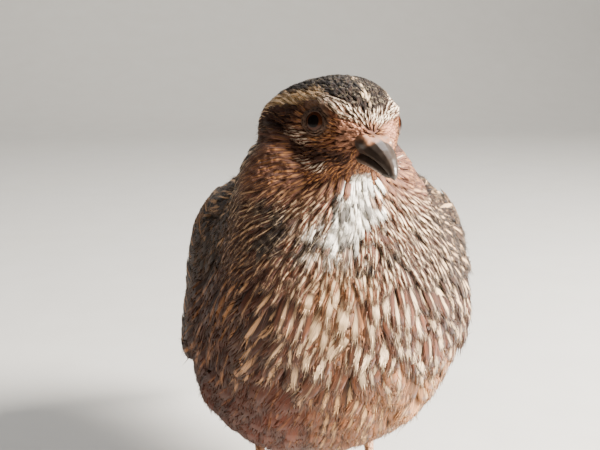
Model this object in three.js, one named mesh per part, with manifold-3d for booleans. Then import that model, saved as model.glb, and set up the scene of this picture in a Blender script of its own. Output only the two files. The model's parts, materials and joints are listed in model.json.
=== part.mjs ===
// A life-size coturnix quail standing at rest: plump round body, short neck drawn in, head turned to
// the bird's left with the bill a little down, wings folded on the flanks, short drooping tail.
// Millimetres, +Z up, the bird faces -Y, so its left side is +X. The feet stand on Z = 0.

import * as THREE from "three";
import { mergeVertices } from "three/addons/utils/BufferGeometryUtils.js";
import Module from "manifold-3d";

const wasm = await Module();
wasm.setup();

// Driving dimensions
const GAP = 0.3; // clearance that neighbouring pieces keep
const HEAD_YAW = 18; // degrees that the head turns to the bird's left
const HEAD_PITCH = 2; // degrees that the bill points below level
const HEAD_ROLL = 4; // degrees that the crown leans to the bird's left
const HEAD_CENTRE = { forward: 39, up: 119 }; // midway between the eyes
const EYE = { forward: 3, side: 8.3, up: 2.2, radius: 4.4 };
const LID = { ring: 3.7, thick: 0.75, out: 2.7, forward: 0.5, turn: -12 };
// Where the toes meet, how far the stance shifts to one side, and degrees that the foot turns out
const FOOT = { side: 17, lean: -1.5, forward: -7, turn: 7 };
const HOCK = { forward: -18, up: 22.5 };

// Stations from the tail root to the crown: middle, slope of the spine there in degrees,
// half width, depth above the spine and depth below it
const TRUNK = [
  { side: 0, forward: -72, up: 55, slope: 15, wide: 0, above: 0, below: 0 },
  { side: 0, forward: -58, up: 58, slope: 12, wide: 20, above: 14, below: 17 },
  { side: 0, forward: -37, up: 61, slope: 5, wide: 32, above: 27, below: 28 },
  { side: 0.5, forward: -13, up: 64, slope: 4, wide: 36.5, above: 38, below: 37 },
  { side: 0.5, forward: 11, up: 67, slope: 12, wide: 36.5, above: 38.5, below: 41 },
  { side: 0, forward: 24, up: 76, slope: 33, wide: 35, above: 31, below: 33 },
  { side: -1.5, forward: 31, up: 93, slope: 60, wide: 28, above: 24, below: 24 },
  { side: -4, forward: 34, up: 111, slope: 78, wide: 20.5, above: 18, below: 15 },
  { side: -4, forward: 36, up: 124, slope: 85, wide: 0, above: 0, below: 0 },
];
const TRUNK_FULL = { above: 0.68, below: 0.83 }; // below 1 the sections are fuller than an ellipse
const BELLY_LEAN = -6; // how far the keel of the belly hangs to the bird's left of the spine
// The neck parts from the torso at this station, in a plane that falls forward by this many degrees
const NECK_CUT = { station: 5.8, slope: 30 };

// Stations from the back of the skull to the bill root, in the head's own frame
const SKULL = [
  { side: -2, forward: -21.5, up: -3, wide: 0, above: 0, below: 0 },
  { side: -2, forward: -17, up: -2.5, wide: 14.5, above: 9, below: 11 },
  { side: -1.5, forward: -10, up: -1, wide: 17.5, above: 12.5, below: 14.5 },
  { side: 0, forward: -3, up: -0.5, wide: 15.2, above: 14.3, below: 14 },
  { side: 0, forward: 3.5, up: -0.8, wide: 12.4, above: 13, below: 12.4 },
  { side: 0, forward: 9, up: -1.8, wide: 9, above: 9.4, below: 8.8 },
  { side: 0, forward: 13, up: -2.6, wide: 6, above: 5, below: 5 },
  { side: 0, forward: 15, up: -3, wide: 0, above: 0, below: 0 },
];
const SKULL_FULL = { above: 0.92, below: 0.92 };
const UPPER_BILL = [
  { side: 0, forward: 9.5, up: -2, wide: 0, above: 0, below: 0 },
  { side: 0, forward: 12, up: -2.2, wide: 4.5, above: 3.7, below: 1.5 },
  { side: 0, forward: 16, up: -2.6, wide: 3.9, above: 3.3, below: 1.3 },
  { side: 0, forward: 20, up: -3.5, wide: 2.9, above: 2.5, below: 1.1 },
  { side: 0, forward: 23.6, up: -5.3, wide: 1.7, above: 1.7, below: 1 },
  { side: 0, forward: 26, up: -8, wide: 0, above: 0, below: 0 },
];
const LOWER_BILL = [
  { side: 0, forward: 10, up: -4.4, wide: 0, above: 0, below: 0 },
  { side: 0, forward: 12.5, up: -4.5, wide: 4, above: 1.4, below: 1.5 },
  { side: 0, forward: 17, up: -4.9, wide: 3.3, above: 1.4, below: 1.3 },
  { side: 0, forward: 21, up: -6, wide: 2, above: 1.2, below: 1 },
  { side: 0, forward: 23.8, up: -7.6, wide: 0, above: 0, below: 0 },
];
// Bulges over and below the eye, and the thin groove of the mouth with the core that it doesn't reach
const BROW = { radii: [3.8, 8, 2.6], side: 7.2, above: 4.2 };
const CHEEK = { radii: [5.5, 9, 6.5], side: 8, back: 1, up: -7 };
const GAPE = { size: [26, 11, 0.7], fall: -4, forward: 9, up: -5 };
const JAW_CORE = { radii: [8.4, 16, 8], back: 2, up: -5 };
const OPERCULUM = { radii: [1.9, 3.4, 2.1], side: 2.7, forward: 14, up: -0.9 };
const NOSTRIL = { radii: [1.2, 1.9, 0.45], side: 4.2, forward: 15.6, up: -2.4 };

// Folded wing, as stations of the trunk from shoulder to tip and degrees above the bird's side
const WING = { shoulder: 4.75, tip: 0.85, rise: [14, 37], spread: 41, widest: 0.32, end: 0.18, thick: 3.1 };
// Tiers of feathers on the wing: where they root and end along it, how many, and their half width
const WING_TIERS = [
  { count: 5, from: 0.72, to: 1.06, low: -0.6, high: 0.75, half: 3.2 },
  { count: 6, from: 0.46, to: 0.86, low: -0.8, high: 0.85, half: 4.2 },
  { count: 5, from: 0.28, to: 0.56, low: -0.8, high: 0.84, half: 5.6 },
  { count: 4, from: 0.1, to: 0.36, low: -0.68, high: 0.74, half: 6 },
];

// Tail: stations of its root, the last of them that carries feathers and how far each station beyond it
// reaches, then the feathers, which get less long from the middle one out
const TAIL = [
  { side: 0, forward: -54, up: 60, wide: 0, above: 0, below: 0 },
  { side: 0, forward: -60, up: 58, wide: 16, above: 12.5, below: 11 },
  { side: 0, forward: -72, up: 51.5, wide: 12, above: 7, below: 7 },
  { side: 0, forward: -84, up: 43.5, wide: 8, above: 2.6, below: 2.8 },
  { side: 0, forward: -91, up: 38.5, wide: 0, above: 0, below: 0 },
];
const TAIL_END = { station: 3.2, reach: 8 };
const RECTRICES = { count: 8, fan: 18, from: 1.6, to: 4.3, half: 3.2, less: 0.17 };
const TAIL_COVERTS = { count: 3, fan: 38, from: 1, to: 2.9, half: 5, less: 0.14 };

// Legs: the feathered thigh and the scaled shank, in the plane of each leg
const THIGH = [
  { side: 0, forward: 4, up: 47, wide: 0, above: 0, below: 0 },
  { side: 0, forward: 0, up: 41, wide: 11, above: 12, below: 12 },
  { side: 0, forward: -8, up: 31, wide: 8.5, above: 10, below: 9 },
  { side: 0, forward: -15, up: 25, wide: 4.2, above: 5, below: 4.5 },
  { side: 0, forward: -18.5, up: 22, wide: 0, above: 0, below: 0 },
];
const SHANK = [
  { side: 0, forward: HOCK.forward - 1, up: HOCK.up + 3, wide: 0, above: 0, below: 0 },
  { side: 0, forward: HOCK.forward, up: HOCK.up, wide: 2.3, above: 2.8, below: 2.6 },
  { side: 0, forward: HOCK.forward + 3, up: HOCK.up - 6.5, wide: 1.6, above: 2, below: 2 },
  { side: 0, forward: FOOT.forward - 2, up: 7, wide: 1.6, above: 2, below: 1.9 },
  { side: 0, forward: FOOT.forward, up: 2.6, wide: 2.9, above: 2.6, below: 2.4 },
  { side: 0, forward: FOOT.forward + 0.4, up: -1.5, wide: 0, above: 0, below: 0 },
];
const TOES = [
  { name: "middle", angle: 0, length: 22, radius: 1.75, joints: 3, claw: 5 },
  { name: "inner", angle: -30, length: 16, radius: 1.6, joints: 2, claw: 4.4 },
  { name: "outer", angle: 33, length: 17.5, radius: 1.6, joints: 3, claw: 4.4 },
  { name: "hind", angle: 168, length: 7.5, radius: 1.35, joints: 1, claw: 3.2 },
];

// Colours of the plumage, bill, eye and leg
const paint = (color, roughness) => new THREE.MeshStandardMaterial({ color, roughness, metalness: 0 });
const BREAST = paint(0xb98d68, 0.85);
const FACE = paint(0x7a4a35, 0.85);
const WING_BROWN = paint(0x5d4a3a, 0.8);
const HORN = paint(0x4a403a, 0.45);
const EYE_DARK = paint(0x1a0f0a, 0.08);
const SKIN = paint(0xc79a78, 0.6);

const SIDES = { right: -1, left: 1 };
const radians = THREE.MathUtils.degToRad;
const mix = THREE.MathUtils.lerp;
const smooth = THREE.MathUtils.smoothstep;

// A closed mesh from a grid of rings, with one point at each end
function closedRings(start, rings, end) {
  const sides = rings[0].length;
  const points = [start, ...rings.flat(), end];
  const faces = [];
  const at = (ring, side) => 1 + ring * sides + (side % sides);
  for (let side = 0; side < sides; side++) {
    faces.push(0, at(0, side + 1), at(0, side));
    for (let ring = 0; ring + 1 < rings.length; ring++) {
      const [a, b] = [at(ring, side), at(ring, side + 1)];
      const [c, d] = [at(ring + 1, side), at(ring + 1, side + 1)];
      faces.push(a, b, d, a, d, c);
    }
    faces.push(points.length - 1, at(rings.length - 1, side), at(rings.length - 1, side + 1));
  }
  const geometry = new THREE.BufferGeometry().setFromPoints(points);
  geometry.setIndex(faces);
  return geometry;
}

// A solid for cutting and joining, turned the right way out
function solid(geometry) {
  const bare = geometry.clone();
  bare.deleteAttribute("normal");
  bare.deleteAttribute("uv");
  const merged = mergeVertices(bare, 1e-4);
  const build = (triVerts) =>
    new wasm.Manifold(
      new wasm.Mesh({ numProp: 3, vertProperties: merged.attributes.position.array, triVerts }),
    );
  const made = build(new Uint32Array(merged.index.array));
  return made.volume() > 0 ? made : build(new Uint32Array(merged.index.array).reverse());
}

const largest = (made) =>
  made.decompose().reduce((best, part) => (part.volume() > best.volume() ? part : best));

const union = (pieces) => pieces.reduce((all, piece) => all.add(piece));

function meshOf(name, made, material) {
  const { vertProperties, triVerts } = largest(made).getMesh();
  const geometry = new THREE.BufferGeometry();
  geometry.setAttribute("position", new THREE.BufferAttribute(vertProperties, 3));
  geometry.setIndex(new THREE.BufferAttribute(triVerts, 1));
  geometry.computeVertexNormals();
  const mesh = new THREE.Mesh(geometry, material);
  mesh.name = name;
  return mesh;
}

// A smooth run of stations: at(k) gives the centre, the direction and the section at station k.
// The sections are square to the spine, or to the slope where the stations state one.
// Squared half sizes are interpolated, so that the ends close as round caps.
function spine(stations, full = { above: 1, below: 1 }, lean = 0) {
  const last = stations.length - 1;
  const curve = (pick) =>
    new THREE.CatmullRomCurve3(stations.map((s) => new THREE.Vector3(...pick(s))), false, "catmullrom", 0.5);
  const centres = curve((s) => [s.side, -s.forward, s.up]);
  const sections = curve((s) => [s.wide ** 2, s.above ** 2, s.below ** 2]);
  const slopes = curve((s) => [radians(s.slope ?? 0), 0, 0]);
  const at = (k) => {
    const t = THREE.MathUtils.clamp(k / last, 0, 1);
    const slope = slopes.getPoint(t).x;
    const along =
      stations[0].slope === undefined
        ? centres.getTangent(t)
        : new THREE.Vector3(0, -Math.cos(slope), Math.sin(slope));
    const squares = sections.getPoint(t);
    return {
      centre: centres.getPoint(t),
      along,
      back: new THREE.Vector3(0, along.z, -along.y).normalize(),
      wide: Math.sqrt(Math.max(squares.x, 0)),
      above: Math.sqrt(Math.max(squares.y, 0)),
      below: Math.sqrt(Math.max(squares.z, 0)),
    };
  };
  // The skin at station k and angle: 0 on the bird's left, a quarter turn on its back
  const point = (k, angle, grow = 0) => {
    const s = at(k);
    const upper = Math.sin(angle) > 0;
    const power = upper ? full.above : full.below;
    const round = (value) => Math.sign(value) * Math.abs(value) ** power;
    const place = s.centre
      .clone()
      .addScaledVector(new THREE.Vector3(1, 0, 0), s.wide * round(Math.cos(angle)))
      .addScaledVector(new THREE.Vector3(1, 0, 0), lean * Math.max(-Math.sin(angle), 0))
      .addScaledVector(s.back, (upper ? s.above : s.below) * round(Math.sin(angle)));
    return grow === 0 ? place : place.addScaledVector(normal(k, angle), grow);
  };
  function normal(k, angle) {
    const step = 0.03;
    const across = point(k, angle + step).sub(point(k, angle - step));
    const along = point(k + step, angle).sub(point(k - step, angle));
    return across.cross(along).normalize();
  }
  const loft = (rings, sides, grow = 0) => {
    const rows = [];
    for (let ring = 1; ring < rings; ring++) {
      const even = ring / rings;
      const eased = mix(even, (1 - Math.cos(Math.PI * even)) / 2, 0.55);
      const row = [];
      for (let side = 0; side < sides; side++)
        row.push(point(eased * last, (2 * Math.PI * side) / sides, grow));
      rows.push(row);
    }
    const tip = (k, way) => at(k).centre.addScaledVector(at(k).along, way * grow);
    return closedRings(tip(0, -1), rows, tip(last, 1));
  };
  return { at, point, normal, loft };
}

// A feather vane: a strip along places that each have a normal, its underside sunk in what it lies on.
// The tilt raises one edge over the neighbour.
const VANE = { rows: [0, 0.4, 0.75, 0.93], widths: [0.6, 0.95, 1, 0.66], thick: 1.8 };

function vane(path, half, tilt) {
  const section = [
    [-1, 0],
    [1, 0],
    [0.8, -VANE.thick],
    [-0.8, -VANE.thick],
  ];
  const rows = VANE.rows.map((t, row) => {
    const { place, normal } = path(t);
    const along = path(t + 0.05).place.sub(path(t - 0.05).place);
    const across = along.cross(normal).normalize();
    return section.map(([x, y]) =>
      place
        .clone()
        .addScaledVector(across, x * half * VANE.widths[row])
        .addScaledVector(normal, y + tilt * x),
    );
  });
  const ends = [-0.02, 1].map((t) => {
    const { place, normal } = path(t);
    return place.addScaledVector(normal, -VANE.thick / 2);
  });
  return solid(closedRings(ends[0], rows, ends[1]));
}

const ellipsoid = (radii, place, around = 20, high = 14) =>
  new THREE.SphereGeometry(1, around, high).scale(...radii).translate(...place);

const grown = (radii, grow) => radii.map((radius) => radius + grow);

// The head's frame: forward is -Y, as on the body, then rolled, pitched and turned into place
const headPlace = new THREE.Matrix4()
  .makeTranslation(0, -HEAD_CENTRE.forward, HEAD_CENTRE.up)
  .multiply(new THREE.Matrix4().makeRotationZ(radians(HEAD_YAW)))
  .multiply(new THREE.Matrix4().makeRotationX(radians(HEAD_PITCH)))
  .multiply(new THREE.Matrix4().makeRotationY(radians(HEAD_ROLL)));
const onHead = (geometry) => solid(geometry.applyMatrix4(headPlace));

// Head with its lids, brows and cheeks, eyes, and the two halves of the bill
function headParts() {
  const skull = spine(SKULL, SKULL_FULL);
  const upperBill = spine(UPPER_BILL);
  const lowerBill = spine(LOWER_BILL);
  const eyeBall = (side, grow) =>
    ellipsoid(
      grown([EYE.radius, EYE.radius, EYE.radius], grow),
      [side * EYE.side, -EYE.forward, EYE.up],
      16,
      10,
    );
  const lid = (side) =>
    new THREE.TorusGeometry(LID.ring, LID.thick, 5, 16)
      .rotateY(Math.PI / 2)
      .rotateZ(side * radians(LID.turn))
      .translate(side * (EYE.side + LID.out), -EYE.forward - LID.forward, EYE.up);
  const brow = (side, grow) =>
    ellipsoid(grown(BROW.radii, grow), [side * BROW.side, -EYE.forward, EYE.up + BROW.above], 10, 6);
  const cheek = (side, grow) =>
    ellipsoid(grown(CHEEK.radii, grow), [side * CHEEK.side, CHEEK.back, CHEEK.up], 12, 8);
  // The corner of the mouth is a thin groove that runs back from the bill below the eye
  const gape = new THREE.BoxGeometry(...GAPE.size)
    .rotateX(radians(GAPE.fall))
    .translate(0, -GAPE.forward, GAPE.up);
  const inner = ellipsoid(JAW_CORE.radii, [0, JAW_CORE.back, JAW_CORE.up], 16, 10);
  const operculum = (side, grow) =>
    ellipsoid(
      grown(OPERCULUM.radii, grow),
      [side * OPERCULUM.side, -OPERCULUM.forward, OPERCULUM.up],
      12,
      8,
    );
  const nostril = (side) =>
    ellipsoid(NOSTRIL.radii, [side * NOSTRIL.side, -NOSTRIL.forward, NOSTRIL.up], 10, 6);
  const both = (make) => Object.values(SIDES).map((side) => onHead(make(side)));
  const upper = (grow) =>
    union([onHead(upperBill.loft(10, 12, grow)), ...both((side) => operculum(side, grow))]);
  const lower = (grow) => onHead(lowerBill.loft(8, 10, grow));
  const form = (grow) =>
    union([
      onHead(skull.loft(16, 22, grow)),
      ...both((side) => brow(side, grow)),
      ...both((side) => cheek(side, grow)),
    ]);
  const sockets = union(both((side) => eyeBall(side, GAP)));
  const mouth = onHead(gape).subtract(onHead(inner));
  const head = union([form(0), ...both(lid)])
    .subtract(sockets)
    .subtract(mouth)
    .subtract(upper(GAP))
    .subtract(lower(GAP));
  return {
    around: union([form(GAP), upper(GAP), lower(GAP)]),
    meshes: [
      meshOf("head", head, FACE),
      meshOf("bill_upper", upper(0).subtract(union(both(nostril))), HORN),
      meshOf("bill_lower", lower(0).subtract(upper(GAP)), HORN),
      ...Object.entries(SIDES).map(([name, side]) =>
        meshOf(`eye_${name}`, onHead(eyeBall(side, 0)), EYE_DARK),
      ),
    ],
  };
}

const trunk = spine(TRUNK, TRUNK_FULL, BELLY_LEAN);
const trunkLoft = (grow) => solid(trunk.loft(30, 36, grow));
const aroundTrunk = trunkLoft(GAP);

// Torso and neck: one smooth trunk, parted by a thin cut across the spine
function trunkParts(aroundHead) {
  const { centre } = trunk.at(NECK_CUT.station);
  const slab = (thick, offset) =>
    solid(
      new THREE.BoxGeometry(120, 120, thick)
        .translate(0, 0, offset)
        .rotateX(radians(NECK_CUT.slope))
        .translate(...centre.toArray()),
    );
  const beyond = slab(80, 40 - GAP / 2);
  const whole = trunkLoft(0);
  return [
    meshOf("torso", whole.subtract(beyond), BREAST),
    meshOf("neck", whole.intersect(beyond).subtract(slab(GAP, 0)).subtract(aroundHead), BREAST),
  ];
}

// One folded wing: a shell on the flank with four tiers of feathers that point at the tail
function wing(name, side) {
  const spread = (a) => {
    const front = Math.sqrt(Math.max(1 - ((WING.widest - a) / WING.widest) ** 2, 0));
    const rear = mix(1, WING.end, Math.max((a - WING.widest) / (1 - WING.widest), 0) ** 1.2);
    return radians(WING.spread) * (a < WING.widest ? front : rear);
  };
  const height = (a, b) => {
    const along = smooth(a, -0.05, 0.25) * mix(1, 0.35, smooth(a, 0.4, 1));
    return 0.5 + WING.thick * along * (1 - Math.min(Math.abs(b), 1) ** 4);
  };
  const station = (a) => mix(WING.shoulder, WING.tip, a);
  const turn = (a, b) => {
    const angle = radians(mix(...WING.rise, a)) + b * spread(a);
    return side > 0 ? angle : Math.PI - angle;
  };
  const skin = (a, b, lift) => trunk.point(station(a), turn(a, b), height(a, b) + lift);
  const under = (a, b) => trunk.point(station(a), turn(a, b), -0.6);
  const rows = [];
  for (let row = 1; row <= 11; row++) {
    const a = (row / 11.5) ** 1.1;
    const outer = [-1, -0.66, -0.3, 0.05, 0.4, 0.72, 1].map((b) => skin(a, b, 0));
    const inner = [0.8, 0, -0.8].map((b) => under(a, b));
    rows.push([...outer, ...inner]);
  }
  const shell = solid(closedRings(skin(0, 0, -0.2), rows, skin(1, 0, -0.2)));
  const feathers = WING_TIERS.flatMap((tier) =>
    Array.from({ length: tier.count }, (_, n) => {
      const b = mix(tier.low, tier.high, n / (tier.count - 1));
      const reach = tier.to - 0.05 * Math.abs(b) - 0.02 * (n % 2);
      const path = (t) => {
        const a = mix(tier.from, reach, t);
        const place = skin(a, b, mix(-0.35, 0.75, t));
        return { place, normal: trunk.normal(station(a), turn(a, b)) };
      };
      return vane(path, tier.half, side * 0.25);
    }),
  );
  return meshOf(name, union([shell, ...feathers]).subtract(aroundTrunk), WING_BROWN);
}

// The tail: a wedge that droops from the rump, its main feathers in a low fan, coverts over their roots
function tail() {
  const wedge = spine(TAIL);
  const fan = ({ count, fan: step, from, to, half, less }, lift) =>
    Array.from({ length: count }, (_, n) => {
      const off = n - (count - 1) / 2;
      const path = (t) => {
        const k = mix(from, to - less * Math.abs(off), t);
        const angle = Math.PI / 2 + radians(step) * off;
        const onWedge = Math.min(k, TAIL_END.station);
        const place = wedge.point(onWedge, angle, mix(-0.4, lift, t));
        place.addScaledVector(wedge.at(TAIL_END.station).along, (k - onWedge) * TAIL_END.reach);
        return { place, normal: wedge.normal(onWedge, angle) };
      };
      return vane(path, half, off > 0 ? -0.25 : 0.25);
    });
  const feathers = [...fan(RECTRICES, 0.7), ...fan(TAIL_COVERTS, 1)];
  return meshOf("tail", union([solid(wedge.loft(9, 12)), ...feathers]).subtract(aroundTrunk), WING_BROWN);
}

// One leg: feathered thigh, scaled shank, and four toes with claws, flat where they stand
function leg(sideName, side) {
  const floor = solid(new THREE.BoxGeometry(200, 200, 20).translate(0, 0, -10));
  const atLeg = (geometry) => solid(geometry.translate(side * FOOT.side + FOOT.lean, 0, 0));
  const shank = spine(SHANK);
  const aroundShank = atLeg(shank.loft(11, 10, GAP));
  const thigh = atLeg(spine(THIGH).loft(9, 14)).subtract(aroundTrunk).subtract(aroundShank);
  const meshes = [
    meshOf(`thigh_${sideName}`, thigh, BREAST),
    meshOf(`shank_${sideName}`, atLeg(shank.loft(11, 10)).subtract(floor), SKIN),
  ];
  const inFoot = (geometry, toe) =>
    atLeg(
      geometry
        .rotateZ(side * radians(toe.angle + FOOT.turn))
        .translate(0, -FOOT.forward, 0),
    );
  let taken = aroundShank;
  for (const toe of TOES) {
    const { length, radius, joints } = toe;
    // The toe swells at each joint and at its tip
    const stations = Array.from({ length: 2 * joints + 1 }, (_, n) => {
      const size = radius * mix(1, 0.78, n / (2 * joints)) * (n % 2 ? 0.84 : 1);
      const forward = 1.5 + ((length - 2.5) * n) / (2 * joints);
      return { side: 0, forward, up: size - 0.3, wide: size, above: size, below: size };
    });
    const cap = (forward) => ({ side: 0, forward, up: radius * 0.7, wide: 0, above: 0, below: 0 });
    const bare = spine([cap(0), ...stations, cap(length)]);
    const claw = spine([
      { ...cap(length - 2), up: 1.3 },
      { side: 0, forward: length - 1, up: 1.3, wide: 0.85, above: 0.8, below: 0.7 },
      { side: 0, forward: length + toe.claw * 0.45, up: 1.25, wide: 0.6, above: 0.65, below: 0.5 },
      { ...cap(length + toe.claw), up: 0.45 },
    ]);
    const rings = 2 * joints + 5;
    const whole = inFoot(bare.loft(rings, 7), toe).subtract(floor);
    const body = whole.subtract(taken).subtract(inFoot(claw.loft(6, 6, GAP), toe));
    taken = taken.add(inFoot(bare.loft(rings, 7, GAP), toe));
    meshes.push(
      meshOf(`toe_${sideName}_${toe.name}`, body, SKIN),
      meshOf(`claw_${sideName}_${toe.name}`, inFoot(claw.loft(6, 6), toe), HORN),
    );
  }
  return meshes;
}

const headSet = headParts();
const group = new THREE.Group();
group.name = "coturnix_quail";
group.add(
  ...trunkParts(headSet.around),
  ...headSet.meshes,
  ...Object.entries(SIDES).map(([name, side]) => wing(`wing_${name}`, side)),
  tail(),
  ...Object.entries(SIDES).flatMap(([name, side]) => leg(name, side)),
);

// The origin is on the floor, below the middle of the bird's box
const middle = new THREE.Box3().setFromObject(group).getCenter(new THREE.Vector3());
for (const mesh of group.children) mesh.geometry.translate(-middle.x, -middle.y, 0);

export default group;
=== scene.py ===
# %% [markdown]
# # A coturnix quail, dressed over its solids
# The solids of the bird come packed from the modelling step: trunk, head, wings, tail, legs and claws, in
# metres, facing -Y and standing on the floor at z = 0. In this lesson they get a skin, a coat of feathers,
# eyes, a bill and scaled feet. The solids never move. They are copied where their shape is wanted, and the
# finished piece then stands for them.

# %% Load the solids and keep their box
import math
import json
import bpy
import numpy as np
from mathutils import Matrix, Vector
from mathutils.bvhtree import BVHTree

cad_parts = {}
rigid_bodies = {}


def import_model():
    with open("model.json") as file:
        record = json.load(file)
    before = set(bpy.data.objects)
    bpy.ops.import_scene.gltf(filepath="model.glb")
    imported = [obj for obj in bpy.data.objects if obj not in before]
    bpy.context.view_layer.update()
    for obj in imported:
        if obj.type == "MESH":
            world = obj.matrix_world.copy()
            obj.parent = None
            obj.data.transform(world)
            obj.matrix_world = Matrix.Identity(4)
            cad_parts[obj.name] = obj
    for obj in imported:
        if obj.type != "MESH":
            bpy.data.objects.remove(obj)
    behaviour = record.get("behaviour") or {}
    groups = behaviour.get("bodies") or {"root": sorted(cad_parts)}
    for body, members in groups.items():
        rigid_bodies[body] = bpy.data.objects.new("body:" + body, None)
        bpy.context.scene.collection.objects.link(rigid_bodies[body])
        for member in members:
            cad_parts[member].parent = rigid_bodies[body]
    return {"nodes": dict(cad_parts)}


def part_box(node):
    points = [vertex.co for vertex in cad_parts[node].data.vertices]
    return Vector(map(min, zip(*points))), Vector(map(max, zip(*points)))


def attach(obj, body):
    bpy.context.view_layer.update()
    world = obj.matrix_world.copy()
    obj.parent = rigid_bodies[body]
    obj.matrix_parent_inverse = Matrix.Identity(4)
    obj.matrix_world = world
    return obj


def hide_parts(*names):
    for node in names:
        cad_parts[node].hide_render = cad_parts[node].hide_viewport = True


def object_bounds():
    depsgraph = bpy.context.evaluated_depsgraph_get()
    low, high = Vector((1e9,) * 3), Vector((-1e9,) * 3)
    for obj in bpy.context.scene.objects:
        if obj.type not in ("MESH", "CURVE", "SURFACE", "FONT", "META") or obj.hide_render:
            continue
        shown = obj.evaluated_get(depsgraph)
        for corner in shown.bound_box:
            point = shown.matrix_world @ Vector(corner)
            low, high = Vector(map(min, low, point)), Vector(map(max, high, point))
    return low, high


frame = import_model()
nodes = frame["nodes"]
solid_low, solid_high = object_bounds()
MM = 0.001
rng = np.random.default_rng(41)
print("solids", len(nodes), "box in mm", [round(v / MM, 1) for v in solid_high - solid_low])

# %% [markdown]
# ## The camera
# The photograph looks at the bird from the front, a little from its right side and from slightly above.
# The camera stands 0.32 m from the middle of the bird, with a lens of 67 mm on a 36 mm frame, which gives
# the width of the bird in the picture without any shift.

# %% Set the camera
AIM = Vector((-0.0081, -0.0139, 0.0880))
TURN, RISE, DISTANCE = math.radians(-6), math.radians(11), 0.320
eye_point = AIM + DISTANCE * Vector((math.sin(TURN) * math.cos(RISE),
                                     -math.cos(TURN) * math.cos(RISE), math.sin(RISE)))
lens = bpy.data.cameras.new("camera")
lens.lens, lens.sensor_width, lens.clip_start = 67.2, 36, 0.01
camera = bpy.data.objects.new("camera", lens)
bpy.context.scene.collection.objects.link(camera)
camera.location = eye_point
camera.rotation_euler = (AIM - eye_point).to_track_quat("-Z", "Y").to_euler()
bpy.context.scene.camera = camera
print("camera at", [round(v, 3) for v in eye_point])

# %% [markdown]
# ## Floor and light
# A museum would show the bird on a plain pale sweep. It is a plane whose far edge is extruded up into a
# wall, with the corner bevelled round so that no line shows behind the bird. The light is that of a room
# with one large window: bright from the picture's right and a little behind, and a warm, weak fill from
# the left.

# %% Helpers for working by hand in code
def nothing_selected():
    """Leaves every object and every part of a mesh unselected, because an operator acts on all of it."""
    if bpy.context.mode != "OBJECT":
        bpy.ops.object.mode_set(mode="OBJECT")
    bpy.ops.object.select_all(action="DESELECT")


def take(piece):
    """Makes one object the active and only selected one."""
    nothing_selected()
    piece.select_set(True)
    bpy.context.view_layer.objects.active = piece


def edit(piece, select="NONE"):
    """Opens a piece for edit-mode operators, with all or nothing of it selected."""
    take(piece)
    bpy.ops.object.mode_set(mode="EDIT")
    bpy.ops.mesh.select_all(action="SELECT" if select == "ALL" else "DESELECT")


def finish_with(piece, kind, **settings):
    """Adds one modifier, sets it and applies it."""
    take(piece)
    modifier = piece.modifiers.new(kind.lower(), kind)
    for name, value in settings.items():
        setattr(modifier, name, value)
    bpy.ops.object.modifier_apply(modifier=modifier.name)


def placed(piece):
    """Puts a piece's place, turn and size into its mesh, so that its object sits at the origin."""
    take(piece)
    bpy.ops.object.transform_apply(location=True, rotation=True, scale=True)


# %% Make the sweep
nothing_selected()
bpy.ops.mesh.primitive_plane_add(size=3.0, location=(0, 0.2, 0))
sweep = bpy.context.active_object
sweep.name = "sweep"
placed(sweep)
edit(sweep)
bpy.ops.object.mode_set(mode="OBJECT")
for edge in sweep.data.edges:
    edge.select = all(sweep.data.vertices[i].co.y > 1.0 for i in edge.vertices)
bpy.ops.object.mode_set(mode="EDIT")
bpy.ops.mesh.select_mode(type="EDGE")
bpy.ops.mesh.extrude_region_move(TRANSFORM_OT_translate={"value": (0, 0, 2.4)})
bpy.ops.object.mode_set(mode="OBJECT")
for edge in sweep.data.edges:
    edge.select = all(v.co.y > 1.0 and v.co.z < 0.01 for v in (sweep.data.vertices[i] for i in edge.vertices))
bpy.ops.object.mode_set(mode="EDIT")
bpy.ops.mesh.bevel(offset=0.7, segments=16)
bpy.ops.mesh.select_all(action="SELECT")
bpy.ops.mesh.normals_make_consistent(inside=False)
bpy.ops.object.mode_set(mode="OBJECT")
bpy.ops.object.shade_smooth()
print("sweep of", len(sweep.data.polygons), "faces")


# %% Materials start from a named colour
def linear(code):
    """A colour written as a painter's hex code, as the linear values that a shader takes."""
    part = np.array([int(code[i:i + 2], 16) / 255 for i in (0, 2, 4)])
    return np.where(part < 0.04045, part / 12.92, ((part + 0.055) / 1.055) ** 2.4)


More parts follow.
